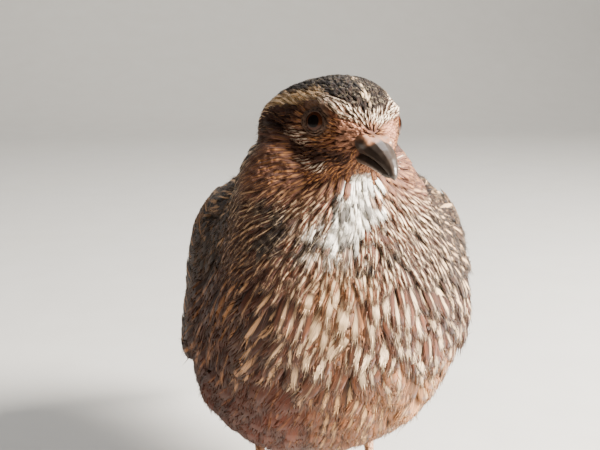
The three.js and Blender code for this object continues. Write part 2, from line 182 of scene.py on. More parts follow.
class Finish:
    """A material being built: short names for adding and joining its nodes."""

    def __init__(self, name):
        self.material = bpy.data.materials.new(name)
        self.material.use_nodes = True
        self.tree = self.material.node_tree
        self.shader = self.tree.nodes["Principled BSDF"]

    def put(self, kind, *inputs, out=0, **settings):
        node = self.tree.nodes.new(kind)
        for name, value in settings.items():
            setattr(node, name, value)
        for socket, value in enumerate(inputs):
            self.feed(node, socket, value)
        return node.outputs[out]

    def feed(self, node, socket, value):
        if value is None:
            return
        if isinstance(value, bpy.types.NodeSocket):
            self.tree.links.new(value, node.inputs[socket])
            return
        if hasattr(value, "__len__") and len(value) == 3 and len(node.inputs[socket].default_value) == 4:
            value = (*value, 1)
        node.inputs[socket].default_value = value

    def calc(self, operation, *values):
        return self.put("ShaderNodeMath", *values, operation=operation)

    def ease(self, value, low, high, bottom=0.0, top=1.0):
        node = self.tree.nodes.new("ShaderNodeMapRange")
        node.interpolation_type = "SMOOTHSTEP"
        for socket, item in enumerate((value, low, high, bottom, top)):
            self.feed(node, socket, item)
        return node.outputs[0]

    def mix(self, amount, first, second, blend="MIX"):
        node = self.tree.nodes.new("ShaderNodeMix")
        node.data_type, node.blend_type = "RGBA", blend
        self.feed(node, 0, amount)
        self.feed(node, 6, first)
        self.feed(node, 7, second)
        return node.outputs[2]

    def attribute(self, name, out=0):
        return self.put("ShaderNodeAttribute", attribute_name=name, out=out)

    def noise(self, where, scale, detail=3.0, rough=0.55):
        node = self.tree.nodes.new("ShaderNodeTexNoise")
        self.feed(node, 0, where)
        node.inputs["Scale"].default_value = scale
        node.inputs["Detail"].default_value = detail
        node.inputs["Roughness"].default_value = rough
        return node.outputs["Fac"]

    def object_place(self):
        return self.put("ShaderNodeTexCoord", out=3)

    def bump(self, height, strength, distance):
        node = self.tree.nodes.new("ShaderNodeBump")
        node.inputs["Strength"].default_value = strength
        node.inputs["Distance"].default_value = distance
        self.feed(node, node.inputs.find("Height"), height)
        self.tree.links.new(node.outputs[0], self.shader.inputs["Normal"])

    def surface(self, colour=None, rough=None, **numbers):
        if colour is not None:
            self.feed(self.shader, 0, colour)
        if rough is not None:
            self.feed(self.shader, self.shader.inputs.find("Roughness"), rough)
        for name, value in numbers.items():
            self.shader.inputs[name.replace("_", " ")].default_value = value
        return self.material


# %% Finish the sweep and light the bird
paper = Finish("paper")
grain = paper.noise(paper.object_place(), 40.0)
paper_colour = paper.mix(grain, linear("bcb9b3"), linear("c5c3be"))
sweep.data.materials.append(paper.surface(paper_colour, paper.ease(grain, 0.2, 0.8, 0.85, 0.95)))


def soft_box(name, place, size, power, colour):
    """An area light at a place, turned to the bird."""
    light = bpy.data.lights.new(name, "AREA")
    light.shape, light.size, light.energy, light.color = "DISK", size, power, colour
    lamp = bpy.data.objects.new(name, light)
    bpy.context.scene.collection.objects.link(lamp)
    lamp.location = place
    lamp.rotation_euler = (AIM - Vector(place)).to_track_quat("-Z", "Y").to_euler()
    return lamp


soft_box("window", (0.60, -0.28, 0.44), 0.32, 54.0, (1.0, 0.95, 0.88))
soft_box("sky", (0.15, 0.40, 0.80), 0.60, 7.0, (0.97, 0.98, 1.0))
fill = soft_box("fill", (-0.60, -0.70, 0.25), 1.20, 0.75, (1.0, 0.78, 0.60))
fill.visible_glossy = False
wall_light = soft_box("wall_wash", (0.0, 0.9, 1.5), 1.0, 16.0, (1.0, 1.0, 1.0))
wall_light.rotation_euler = (math.radians(70), 0, 0)


def light_the_room():
    """The room is dim where it lights the bird, and pale where it shows beyond the sweep."""
    world = bpy.data.worlds.new("room")
    bpy.context.scene.world = world
    world.use_nodes = True
    tree = world.node_tree
    dim = tree.nodes["Background"]
    dim.inputs[0].default_value = (0.95, 0.90, 0.84, 1)
    dim.inputs[1].default_value = 0.045
    pale = tree.nodes.new("ShaderNodeBackground")
    pale.inputs[0].default_value = (0.34, 0.335, 0.325, 1)
    seen = tree.nodes.new("ShaderNodeLightPath")
    blend = tree.nodes.new("ShaderNodeMixShader")
    tree.links.new(seen.outputs["Is Camera Ray"], blend.inputs[0])
    tree.links.new(dim.outputs[0], blend.inputs[1])
    tree.links.new(pale.outputs[0], blend.inputs[2])
    tree.links.new(blend.outputs[0], tree.nodes["World Output"].inputs[0])


light_the_room()

# %% [markdown]
# ## Finding the way round the head
# The coat's markings are placed by the bird's own landmarks. The two eyes give the line across the head,
# and the level line square to it points along the bill. From here on, a place on the head is told as
# millimetres forward, to the bird's left, and up from the point midway between the eyes.

# %% Take the head's own axes from the eyes
def middle_of(name):
    low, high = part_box(name)
    return np.array((low + high) / 2)


def unit(vectors):
    length = np.linalg.norm(vectors, axis=-1, keepdims=True)
    return vectors / np.maximum(length, 1e-12)


mid_eyes = (middle_of("eye_left") + middle_of("eye_right")) / 2
to_left = unit(middle_of("eye_left") - middle_of("eye_right"))
forward = unit(np.cross(to_left, (0, 0, 1)))
upward = np.cross(forward, to_left)
HEAD_AXES = np.array([forward, to_left, upward])
bill_low, bill_high = (np.array(v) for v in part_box("bill_upper"))
bill_base = mid_eyes + (10 * forward - 2.5 * upward) * MM


def on_head(points):
    """Row-frame points in metres, as millimetres forward, left and up on the head."""
    return (points - mid_eyes) @ HEAD_AXES.T / MM


def from_head(point):
    return mid_eyes + np.array(point) @ HEAD_AXES * MM


print("between the eyes", np.round(mid_eyes / MM, 1), "bill base", np.round(bill_base / MM, 1))

# %% [markdown]
# ## The skin
# Under its feathers a quail is one smooth body, so one skin stands for all the solids of flesh. Their
# copies are joined, swollen by a hair so that the gaps between them close, remeshed to one surface with
# the Remesh modifier and smoothed. Displace then sinks the skin by the depth of the coat, less where the
# body is thin, as at the tips of wings and tail, so that the feathers end at the solids' surface.

# %% Join copies of the solids
FLESH = ["torso", "neck", "head", "thigh_right", "thigh_left", "wing_right", "wing_left", "tail"]
FACE_SOLIDS = ["eye_left", "eye_right", "bill_upper", "bill_lower"]


def joined_copy(names, piece_name):
    """One new object from copies of some solids' meshes, with their loose triangles merged."""
    nothing_selected()
    copies = []
    for name in names:
        mesh = nodes[name].data.copy()
        mesh.materials.clear()
        copies.append(bpy.data.objects.new(piece_name, mesh))
        bpy.context.scene.collection.objects.link(copies[-1])
        copies[-1].select_set(True)
    bpy.context.view_layer.objects.active = copies[0]
    if len(copies) > 1:
        bpy.ops.object.join()
    piece = bpy.context.active_object
    piece.name = piece_name
    edit(piece, "ALL")
    bpy.ops.mesh.remove_doubles(threshold=1e-6)
    bpy.ops.object.mode_set(mode="OBJECT")
    return piece


def coordinates(piece):
    co = np.empty(len(piece.data.vertices) * 3, np.float32)
    piece.data.vertices.foreach_get("co", co)
    return co.reshape(-1, 3).astype(float)


def directions(piece):
    value = np.empty(len(piece.data.vertices) * 3, np.float32)
    piece.data.vertex_normals.foreach_get("vector", value)
    return value.reshape(-1, 3).astype(float)


skin = joined_copy(FLESH + FACE_SOLIDS, "skin")
finish_with(skin, "DISPLACE", strength=0.30 * MM, mid_level=0.0)
finish_with(skin, "REMESH", mode="VOXEL", voxel_size=1.05 * MM, adaptivity=0.0)
finish_with(skin, "SMOOTH", factor=0.5, iterations=8)
print("skin remeshed to", len(skin.data.polygons), "faces")


# %% Keep only the outer surface
def keep_outside(piece):
    """Deletes every loose shell but the one that holds the highest point."""
    edit(piece)
    bpy.ops.object.mode_set(mode="OBJECT")
    piece.data.vertices[int(np.argmax(coordinates(piece)[:, 2]))].select = True
    bpy.ops.object.mode_set(mode="EDIT")
    bpy.ops.mesh.select_mode(type="VERT")
    bpy.ops.mesh.select_linked()
    bpy.ops.mesh.select_all(action="INVERT")
    bpy.ops.mesh.delete(type="VERT")
    bpy.ops.object.mode_set(mode="OBJECT")


keep_outside(skin)
print("outer skin", len(skin.data.polygons), "faces")


# %% Tell which solid a point belongs to
def ease(value, low, high):
    """0 below low, 1 above high, and smooth between; low may be the larger."""
    t = np.clip((value - low) / (high - low), 0, 1)
    return t * t * (3 - 2 * t)


def search_tree(piece):
    mesh = piece.data
    mesh.calc_loop_triangles()
    corners = np.empty(len(mesh.loop_triangles) * 3, np.int32)
    mesh.loop_triangles.foreach_get("vertices", corners)
    corners = corners.reshape(-1, 3)
    return BVHTree.FromPolygons(coordinates(piece).tolist(), corners.tolist()), corners


NAMED = FLESH + FACE_SOLIDS
solid_trees = [search_tree(nodes[name])[0] for name in NAMED]


def nearest_solid(points):
    """The number in NAMED of the solid nearest to each point."""
    best = np.full(len(points), 1e9)
    owner = np.zeros(len(points), int)
    for number, tree in enumerate(solid_trees):
        for i, point in enumerate(points):
            distance = tree.find_nearest(point, float(best[i]))[3]
            if distance is not None and distance < best[i]:
                best[i], owner[i] = distance, number
    return owner


skin_points = coordinates(skin)
skin_owner = nearest_solid(skin_points)
print("skin points per solid", {n: int((skin_owner == i).sum()) for i, n in enumerate(NAMED)})

# %% Sink the skin by the depth of the coat
BODY_DEPTH, FACE_DEPTH, THIN_SHARE = 1.7, 1.0, 0.35


def owned_by(owner, *names):
    return np.isin(owner, [NAMED.index(n) for n in names])


def sink_skin():
    """Gives each point its depth as a weight, which Displace uses."""
    tree = search_tree(skin)[0]
    normals = directions(skin)
    wanted = np.full(len(skin_points), BODY_DEPTH)
    wanted[owned_by(skin_owner, "head", *FACE_SOLIDS)] = FACE_DEPTH
    for i, point in enumerate(skin_points):
        inward = Vector(-normals[i])
        hit = tree.ray_cast(Vector(point) + inward * 0.05 * MM, inward, 20 * MM)
        if hit[0] is not None:
            wanted[i] = min(wanted[i], THIN_SHARE * hit[3] / MM)
    group = skin.vertex_groups.new(name="depth")
    for i, value in enumerate(wanted):
        group.add([i], float(value / BODY_DEPTH), "REPLACE")
    body = skin.vertex_groups.new(name="body")
    low_parts = np.flatnonzero(~owned_by(skin_owner, "head", *FACE_SOLIDS))
    body.add(low_parts.tolist(), 1.0, "REPLACE")
    finish_with(skin, "SMOOTH", factor=0.5, iterations=14, vertex_group="body")
    finish_with(skin, "DISPLACE", strength=-(BODY_DEPTH - 0.1) * MM, mid_level=0.0, vertex_group="depth")
    finish_with(skin, "SMOOTH", factor=0.5, iterations=4)
    return wanted


depths = sink_skin()
skin.vertex_groups.clear()


def soften_folds():
    """Rounds the hollow where a wing lies on the body, and gives each point its share of the wing, 0 to 1."""
    count = len(skin_points)
    ends = np.empty(len(skin.data.edges) * 2, np.int32)
    skin.data.edges.foreach_get("vertices", ends)
    ends = ends.reshape(-1, 2)
    near = np.bincount(ends.ravel(), minlength=count)
    share = owned_by(skin_owner, "wing_left", "wing_right", "tail").astype(float)
    for _ in range(30):
        gathered = np.bincount(ends[:, 0], share[ends[:, 1]], count) + np.bincount(ends[:, 1], share[ends[:, 0]], count)
        share = 0.5 * share + 0.5 * gathered / np.maximum(near, 1)
    x, y, z = (coordinates(skin) / MM).T
    nape = ease(y, -30, -20) * ease(y, 14, 2) * ease(z, 84, 92) * ease(z, 112, 104)
    fold = np.maximum(np.clip(1 - np.abs(share - 0.5) * 2.2, 0, 1) * (y < 45), nape)
    group = skin.vertex_groups.new(name="fold")
    for i in np.flatnonzero(fold > 0.02):
        group.add([int(i)], float(fold[i]), "REPLACE")
    finish_with(skin, "SMOOTH", factor=0.5, iterations=45, vertex_group="fold")
    skin.vertex_groups.clear()
    return share


def fill_flank():
    """The photo's bird has fluffed its right flank out past the wing's lower edge."""
    x, y, z = (coordinates(skin) / MM).T
    full = ease(x, -22, -34) * ease(z, 34, 46) * ease(z, 76, 60) * ease(y, -50, -34) * ease(y, 34, 12)
    group = skin.vertex_groups.new(name="flank")
    for i in np.flatnonzero(full > 0.01):
        group.add([int(i)], float(full[i]), "REPLACE")
    finish_with(skin, "DISPLACE", strength=1.9 * MM, mid_level=0.0, vertex_group="flank")
    skin.vertex_groups.clear()


wing_share = soften_folds()
fill_flank()
edit(skin, "ALL")
bpy.ops.uv.smart_project(angle_limit=math.radians(66), island_margin=0.002)
bpy.ops.object.mode_set(mode="OBJECT")
bpy.ops.object.shade_smooth()
print("coat depth from", round(depths.min(), 2), "to", round(depths.max(), 2), "mm")

# %% [markdown]
# ## The markings
# Every feather of a quail carries the same plan: a ground colour, a pale streak down the shaft, bars across
# it on the back and wings, and often a pale tip. What changes over the body is how strong each of these is.
# So the markings are written once, as a function of the place on the body, and used for the skin under the
# coat and for each feather. The places of stripes on the head are short lines through its landmarks. On the
# bird's right side, away from the window, the ground is also made darker and redder: painted shade and a
# painted warm reflection, not markings.

# %% The colours of the bird
INK = linear("170e08")
UMBER = linear("2a1a10")
DEEP = linear("3d1e11")
RUFOUS = linear("643a25")
CHEEK = linear("78503f")
BUFF = linear("a97347")
PEACH = linear("9c643f")
OCHRE = linear("c18e57")
CREAM = linear("e5c6a0")
WHITE = linear("fbf3e6")
GREY = linear("c6b396")
MOUTH = linear("2a1712")


def toward(base, colour, amount):
    return base + (colour - base) * np.asarray(amount)[:, None]


def from_line(places, line):
    """The distance of each place from a line of landmarks."""
    best = np.full(len(places), 1e9)
    for start, end in zip(np.array(line[:-1], float), np.array(line[1:], float)):
        step = end - start
        share = np.clip((places - start) @ step / (step @ step), 0, 1)
        best = np.minimum(best, np.linalg.norm(places - start - share[:, None] * step, axis=1))
    return best


# %% Landmarks of the head, in mm forward, left and up from between the eyes
BROW = [(-13, 15.2, 3.6), (-5.3, 12.8, 5.6), (-1.3, 10.1, 6.8), (4.5, 8.8, 5.8), (7.5, 6.2, 3.5), (9.5, 1.5, 2.0)]
GAPE_BAND = [(8.6, 6.0, -7.6), (4.0, 9.4, -7.2), (-2.1, 12.9, -6.6), (-7, 14.5, -5.6)]
EAR_PATCH = [(-7.5, 15.1, 2.4), (-11, 14.5, -3.0)]
UNDER_BROW = [(-6, 14.0, 3.4), (-1.0, 11.8, 4.6), (3.5, 10.2, 4.2), (6.2, 8.6, 2.2)]
LORES = [(8.4, 7.4, -0.6), (5.5, 9, 1.1), (5.8, 8.8, -2.8)]
FLECKS = [(7.0, 7.2, -10.2), (2.5, 10.5, -9.9), (-1.5, 12.2, -9.4), (-5.5, 13.2, -9.0)]
UNDER_EYE = [(-0.4, 12.7, -4.0), (-4.0, 13.4, -3.2)]
CERE = [(10.2, 4.4, -0.6), (8.8, 6.0, -0.9), (9.0, 5.8, -2.8)]
EYE_SPOT = [(2.3, 11.9, 0.5), (2.3, 11.8, 0.4)]
CROWN_LINE = [(7.5, 0, 4.5), (3.0, 0, 9.5), (-6, 0, 12), (-16, 0, 9), (-22, 0, 2)]


# %% The markings as a function of place
def head_markings(places, look):
    """Paints the head: places are in head millimetres, with both sides folded onto the left."""
    both = places * (1, 0, 1) + np.abs(places[:, 1:2]) * (0, 1, 0)
    brow_side = np.interp(both[:, 0], [-20, -13, -5.3, -1.3, 4.5, 7.5, 9.6], [14.5, 15, 12.6, 10.3, 8.6, 6.0, 1.2])
    crown = ease(brow_side - both[:, 1], 0.5, 1.6) * ease(both[:, 2], 0.5, 2.5) * ease(both[:, 0], 10.2, 9.4)
    brow = ease(from_line(both, BROW), 2.3, 1.3)
    under_brow = ease(from_line(both, UNDER_BROW), 1.7, 0.8)
    low_face = ease(both[:, 2], -6.8, -8.6)
    cheek = ease(both[:, 2], -24, -14) * ease(both[:, 0], -15, -7)
    look["ground"] = toward(look["ground"], CHEEK, cheek)
    look["mark"] = toward(look["mark"], BUFF, cheek)
    look["streak"] = look["streak"] * (1 - low_face) + 0.30 * low_face
    dark = ease(from_line(both, GAPE_BAND), 2.3, 1.2) * 1.1 + ease(from_line(both, EAR_PATCH), 5.5, 3.0) + under_brow
    look["ground"] = toward(look["ground"], linear("33201a"), np.clip(dark, 0, 1) * 0.9)
    look["streak"] *= 1 - np.clip(dark, 0, 1) * 0.75
    lores = ease(from_line(both, LORES), 3.2, 1.6)
    look["ground"] = toward(look["ground"], RUFOUS, lores * 0.8)
    eye_side = ease(from_line(both, EYE_SPOT), 5.6, 4.2)
    look["ground"] = toward(look["ground"], linear("8a6a55"), eye_side * 0.6)
    flecks = ease(from_line(both, FLECKS), 1.8, 0.7) + 0.8 * ease(from_line(both, UNDER_EYE), 2.6, 1.2)
    look["mark"] = toward(look["mark"], linear("e3cdb6"), np.clip(flecks, 0, 1))
    look["streak"] = np.maximum(look["streak"], flecks * 0.24)
    cere = ease(from_line(both, CERE), 2.9, 1.7)
    look["ground"] = toward(look["ground"], linear("a9765c"), cere)
    look["streak"] *= 1 - cere
    look["ground"] = toward(look["ground"], linear("231811"), crown)
    look["mark"] = toward(look["mark"], linear("b09d82"), crown)
    front = ease(both[:, 0], -6, 6)
    look["tip"] = look["tip"] * (1 - crown) + crown * (0.30 + 0.32 * front)
    look["streak"] *= 1 - crown
    ahead = ease(both[:, 0], -1.5, 3.5)
    look["ground"] = toward(look["ground"], linear("bd9668"), brow * (1 - ahead))
    look["ground"] = toward(look["ground"], linear("6f5340"), brow * ahead * 0.8)
    look["mark"] = toward(look["mark"], CREAM, brow)
    look["mark"] = toward(look["mark"], WHITE, brow * ahead * 0.3)
    look["streak"] = look["streak"] * (1 - brow) + (0.36 + 0.10 * ahead) * brow
    look["tip"] *= 1 - brow
    middle = ease(from_line(places, CROWN_LINE) + 0.45 * np.sin(1.9 * places[:, 0]), 0.8, 0.3)
    look["ground"] = toward(look["ground"], CREAM, middle * 0.8)
    look["tip"] *= 1 - middle


# How far the breast and throat have moved to the bird's right since their landmarks were taken, in mm
BREAST_SHIFT = np.array((-2.05, -0.2, 0.0))


def throat_markings(p, look):
    """Paints the white chin stripe, the collar and the dark blotches under it."""
    p = p - BREAST_SHIFT
    x, y, z = p.T
    front = ease(y, -44, -52)
    reach = np.interp(z, [89, 92, 95, 98, 101, 107, 110], [2.2, 3.2, 5.6, 7.4, 6.0, 3.4, 2.2])
    centre = np.interp(z, [91, 95, 98, 101, 108, 111], [-1.6, -1.2, 1.0, 1.7, 3.4, 4.2])
    across = np.abs(x - centre) / reach
    height = ease(z + 1.4 * np.sin(1.7 * x), 90.0, 92.5) * ease(z, 111.5, 109.0)
    broken = 0.24 * np.sin(2.3 * x + 0.5 * z) + 0.20 * np.sin(1.3 * z - 2.9 * x + 1)
    white = ease(across + broken, 1.10, 0.70) * height * front
    look["ground"] = toward(look["ground"], WHITE, white)
    look["mark"] = toward(look["mark"], INK, white)
    look["streak"] = look["streak"] * (1 - white) + 0.08 * white
    streaks = np.zeros(len(p))
    for line in ([(0.4, -63, 101.0), (2.4, -62.5, 108.5)], [(6.4, -63, 100.0), (5.2, -62.5, 107.0)],
                 [(-3.6, -63.5, 99.0), (-1.0, -62.5, 105.5)], [(3.4, -63, 100.5), (3.9, -63, 105.0)]):
        streaks += ease(from_line(p, line), 1.8, 1.0)
    fringe = np.zeros(len(p))
    for line in ([(-17, -60, 99.0), (-11, -62, 97.0), (-5, -63, 96.5)], [(-13, -63, 90.5), (-6, -65, 89.5),
                 (4, -65, 90.0)], [(8, -63, 98.0), (13, -61, 95.0)]):
        fringe += ease(from_line(p, line), 1.6, 0.7)
    fringe = np.clip(fringe, 0, 1) * front
    look["ground"] = toward(look["ground"], linear("cdb59d"), fringe * 0.8)
    look["mark"] = toward(look["mark"], WHITE, fringe)
    blotches = np.zeros(len(p))
    for spot in ((-9, -65.2, 93.4), (1.5, -65.2, 93.2), (4.5, -65.2, 86.6), (7.5, -65.2, 91.5), (12.5, -63.4, 89.0),
                 (-12.8, -64, 90.5), (-19.1, -61.6, 92.8), (-16.5, -62, 97.5), (-18, -60.5, 101)):
        blotches += ease(np.linalg.norm((p - spot) * (0.65, 0.5, 1.25), axis=1), 3.3, 1.6)
    dark = np.clip(streaks + blotches, 0, 1) * front
    look["ground"] = toward(look["ground"], INK, dark * 0.9)
    look["mark"] = toward(look["mark"], GREY, dark * 0.5)
    look["streak"] *= 1 - 0.6 * np.clip(dark, 0, 1)


def markings(points, owner, wing=None):
    """Ground and mark colours and the strength of streak, bars and tip, at points in metres."""
    p = points / MM
    x, y, z = p.T
    side = np.abs(x)
    count = len(p)
    look = {"ground": np.tile(RUFOUS, (count, 1)), "mark": np.tile(CREAM, (count, 1)),
            "streak": np.full(count, 0.27), "bars": np.zeros(count), "tip": np.full(count, 0.08)}
    shoulder = ease(side, 12, 28) * ease(z, 52, 68)
    look["ground"] = toward(look["ground"], DEEP, shoulder * 0.9)
    look["mark"] = toward(look["mark"], OCHRE, shoulder * 0.35)
    breast = np.sqrt(((x + 4.5) / 9.5) ** 2 + ((z - 75) / 14) ** 2)
    centre = ease(breast, 1.25, 0.6) * ease(y, -40, -50)
    look["ground"] = toward(look["ground"], BUFF, centre * 0.45)
    look["mark"] = toward(look["mark"], OCHRE, centre * 0.25)
    look["streak"] += 0.08 * centre
    sides = ease(y, -54, -40) * ease(z, 66, 82)
    look["ground"] = toward(look["ground"], UMBER, sides * 0.85)
    look["streak"] *= 1 - 0.35 * sides
    belly = ease(z + 1.5 * np.sin(0.4 * x), 60, 49)
    # The belly is paler buff on the bird's left, the side towards the window, and browner peach on its right: partly
    # its own colour, partly painted light and shade.
    look["ground"] = toward(look["ground"], PEACH, belly * 0.65 * ease(x, -30, 2))
    look["ground"] = toward(look["ground"], linear("bd8656"), belly * 0.7 * ease(x, 2, 22))
    look["mark"] = toward(look["mark"], OCHRE, belly * 0.8)
    look["streak"] *= 1 - 0.45 * belly
    left = ease(x, 5, 17) * ease(z, 68, 80) * ease(z, 112, 104)
    look["ground"] = toward(look["ground"], UMBER, left * 0.65)
    # Painted shade: the bird's right side, away from the window, is darkened towards deep brown, with duller and fewer
    # streaks.
    right = ease(x, -4, -24) * ease(z, 106, 92)
    look["ground"] = toward(look["ground"], DEEP, right * (1 - 0.5 * belly) * 0.6)
    look["mark"] = toward(look["mark"], BUFF, right * 0.6)
    look["streak"] *= 1 - 0.25 * right
    # Painted shade and a painted warm reflection: the belly on the bird's right side is darkened and reddened.
    painted_shade_belly = belly * ease(x, 0, -16)
    look["ground"] = toward(look["ground"], linear("4f2110"), painted_shade_belly * 0.9)
    look["mark"] = toward(look["mark"], linear("94562c"), painted_shade_belly * 0.85)
    look["streak"] *= 1 - 0.5 * painted_shade_belly
    # Painted shade: the outer flank on the bird's right side is darkened to a deep red-brown.
    rim = ease(x, -20, -33) * ease(z, 92, 80)
    look["ground"] = toward(look["ground"], linear("381506"), rim * 0.8)
    look["mark"] = toward(look["mark"], linear("8f5327"), rim * 0.75)
    mottle = ease(np.sin(0.9 * x + 0.5 * z) + np.sin(1.1 * z - 0.6 * x + 2), 0.9, 1.7) * belly
    look["ground"] = toward(look["ground"], DEEP, mottle * 0.6)
    vent = ease(y, -8, 12) * ease(z, 70, 55)
    look["ground"] = toward(look["ground"], BUFF, vent * 0.8)
    over_axis = z - (74 - 0.17 * (y + 40))
    back = ease(over_axis, 1, 10) * ease(y, -50, -36)
    wings = owned_by(owner, "wing_left", "wing_right", "tail").astype(float) if wing is None else ease(wing, 0.25, 0.6)
    upper = np.clip(back + wings, 0, 1)
    look["ground"] = toward(look["ground"], UMBER, upper)
    look["mark"] = toward(look["mark"], OCHRE, upper * 0.25)
    look["streak"] = look["streak"] * (1 - upper) + 0.12 * upper
    look["bars"] = upper * 0.7
    head = owned_by(owner, "head", *FACE_SOLIDS).astype(float)
    painted = {key: value.copy() for key, value in look.items()}
    painted["bars"] *= 0
    head_markings(on_head(points), painted)
    in_mouth = owned_by(owner, "bill_upper", "bill_lower").astype(float)
    on = np.clip(head + ease(z, 96, 104) * (1 - wings) * ease(y, -14, -26), 0, 1)
    for key, value in look.items():
        weight = on[:, None] if value.ndim == 2 else on
        look[key] = value * (1 - weight) + painted[key] * weight
    throat_markings(p, look)
    look["ground"] = toward(look["ground"], MOUTH, in_mouth)
    return look


# %% [markdown]
# ## The skin's finish
# The skin shows only as the soft dark ground between feathers, so it takes the ground colour of the coat
# over it, a little darker, as a colour attribute. A fine noise breaks it up like down.

# %% Paint and finish the skin
def colour_attribute(piece, name, colours):
    layer = piece.data.color_attributes.new(name, "FLOAT_COLOR", "POINT")
    values = np.ones((len(colours), 4), np.float32)
    values[:, :colours.shape[1]] = colours
    layer.data.foreach_set("color", values.ravel())


skin_points = coordinates(skin)
skin_look = markings(skin_points, skin_owner, wing_share)
colour_attribute(skin, "Ground", skin_look["ground"])
down = Finish("down")
fluff = down.noise(down.object_place(), 900.0, 5.0, 0.65)
down_shade = down.ease(fluff, 0.25, 0.75, 0.35, 0.85)
down_colour = down.mix(1.0, down.attribute("Ground"), down.put("ShaderNodeCombineColor", down_shade, down_shade,
                                                               down_shade), "MULTIPLY")
down.bump(fluff, 0.5, 0.3 * MM)
skin.data.materials.append(down.surface(down_colour, down.ease(fluff, 0.2, 0.8, 0.75, 0.95), Sheen_Weight=0.2,
                                        Specular_IOR_Level=0.2))
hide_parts(*FLESH)
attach(skin, "root")
print("skin painted,", len(skin.data.polygons), "faces")

# %% [markdown]
# ## How feathers lie
# Feathers point away from the bill, over the head and down the body to the tail. The lie at any place is
# the direction from the base of the bill to it, laid flat on the skin. A feather starts at its root and is
# walked along the skin in short steps, so that it bends with the body, and it rises a little towards its
# tip so that it covers the root of the next one.

# %% Walk along the skin
skin_tree, skin_triangles = search_tree(skin)
skin_normals = directions(skin)
triangle_normals = unit(skin_normals[skin_triangles].mean(1))
triangle_places = skin_points[skin_triangles]
uv_values = np.empty(len(skin.data.loops) * 2, np.float32)
skin.data.uv_layers.active.data.foreach_get("uv", uv_values)
loop_numbers = np.empty(len(skin.data.loop_triangles) * 3, np.int32)
skin.data.loop_triangles.foreach_get("loops", loop_numbers)
triangle_uv = uv_values.reshape(-1, 2)[loop_numbers.reshape(-1, 3)].mean(1)


def touch(points):
    """For each point, the nearest place on the skin, the way out from it, and the triangle hit."""
    places, index = np.empty_like(points), np.empty(len(points), int)
    for i, point in enumerate(points):
        place, _, number, _ = skin_tree.find_nearest(point)
        places[i], index[i] = place, number
    return places, triangle_normals[index], index


def lie(points, normals, wing=None):
    """The way the coat lies at points on the skin; on a wing it runs along the wing."""
    away = unit(points - bill_base)
    far = ease(np.linalg.norm(points - bill_base, axis=1) / MM, 55, 120)
    away = unit(away + far[:, None] * (0, 0.9, 0))
    if wing is not None:
        share = ease(wing, 0.1, 0.8)[:, None]
        away = unit(away * (1 - 0.7 * share) + share * np.array((0, 0.93, -0.30)))
    return unit(away - (away * normals).sum(1)[:, None] * normals)


def ruffle(points):
    """Small turns that neighbouring feathers share, as where a bird has shaken itself."""
    x, y, z = (points / MM).T
    return 0.10 * np.sin(0.42 * x + 0.31 * z) + 0.08 * np.sin(0.73 * z - 0.25 * x + 0.2 * y + 1.3)


def turned(headings, normals, angles):
    """Headings turned in the skin by an angle each."""
    across = np.cross(normals, headings)
    return headings * np.cos(angles)[:, None] + across * np.sin(angles)[:, None]


def walk(roots, headings, lengths, rows):
    """The spine of each feather: places, outward directions and headings at each row."""
    spine, out, along = [], [], []
    place, heading = roots, headings
    for row in range(rows + 1):
        near, normal, _ = touch(place)
        if row:
            # Past the edge of a wing or the tail a feather goes straight on
            beyond = (normal * out[-1]).sum(1) < 0.75
            near[beyond], normal[beyond] = place[beyond], out[-1][beyond]
        heading = unit(heading - (heading * normal).sum(1)[:, None] * normal)
        spine.append(near)
        out.append(normal)
        along.append(heading)
        place = near + heading * (lengths / rows)[:, None]
    return np.array(spine), np.array(out), np.array(along)


# %% [markdown]
# ## One feather
# A body feather is a thin bowed vane on a shaft, and its tip is frayed because the outer barbs are loose.
# Thousands are needed, so the vane is a small grid of faces: some cells across, some rows along, a low
# middle line underneath to close it, and one pointed tooth of its own length on each cell at the tip. All
# feathers of a kind are laid at once as one mesh from arrays, as their number is too great to place by hand.

# %% The faces of one vane
def vane_faces(cells, rows):
    """Triangles of a closed vane. Points: the grid, then the line beneath, then notches, then tooth tips."""
    wide = cells + 1
    grid = lambda row, cell: row * wide + cell
    beneath = (rows + 1) * wide
    notch = beneath + rows + 1
    tip = notch + cells
    faces = []
    for row in range(rows):
        for cell in range(cells):
            a, b = grid(row, cell), grid(row, cell + 1)
            c, d = grid(row + 1, cell + 1), grid(row + 1, cell)
            faces += [(a, b, c), (a, c, d)]
        for edge, flip in ((0, False), (cells, True)):
            quad = [grid(row, edge), grid(row + 1, edge), beneath + row + 1, beneath + row]
            quad = quad[::-1] if flip else quad
            faces += [(quad[0], quad[1], quad[2]), (quad[0], quad[2], quad[3])]
    for cell in range(cells):
        a, b = grid(rows, cell), grid(rows, cell + 1)
        faces += [(a, b, tip + cell), (b, notch + cell, tip + cell), (notch + cell, a, tip + cell)]
        faces += [(a, notch + cell, beneath + rows), (notch + cell, b, beneath + rows)]
        faces += [(grid(0, cell + 1), grid(0, cell), beneath)]
    return np.array(faces)


def strand_faces(first, strands):
    """Loose barbs are thin spikes of four triangles: three at the root, one at the tip."""
    faces = []
    for strand in range(strands):
        a, b, c, d = (first + strand * 4 + k for k in range(4))
        faces += [(a, b, d), (b, c, d), (c, a, d), (b, a, c)]
    return faces


def swelling(share):
    """How wide a vane is along its length, as a share of its widest."""
    return 0.42 + 0.58 * math.sin(math.pi * min(share * 0.78, 0.5)) if share < 0.64 else 1 - 0.55 * (share - 0.64)


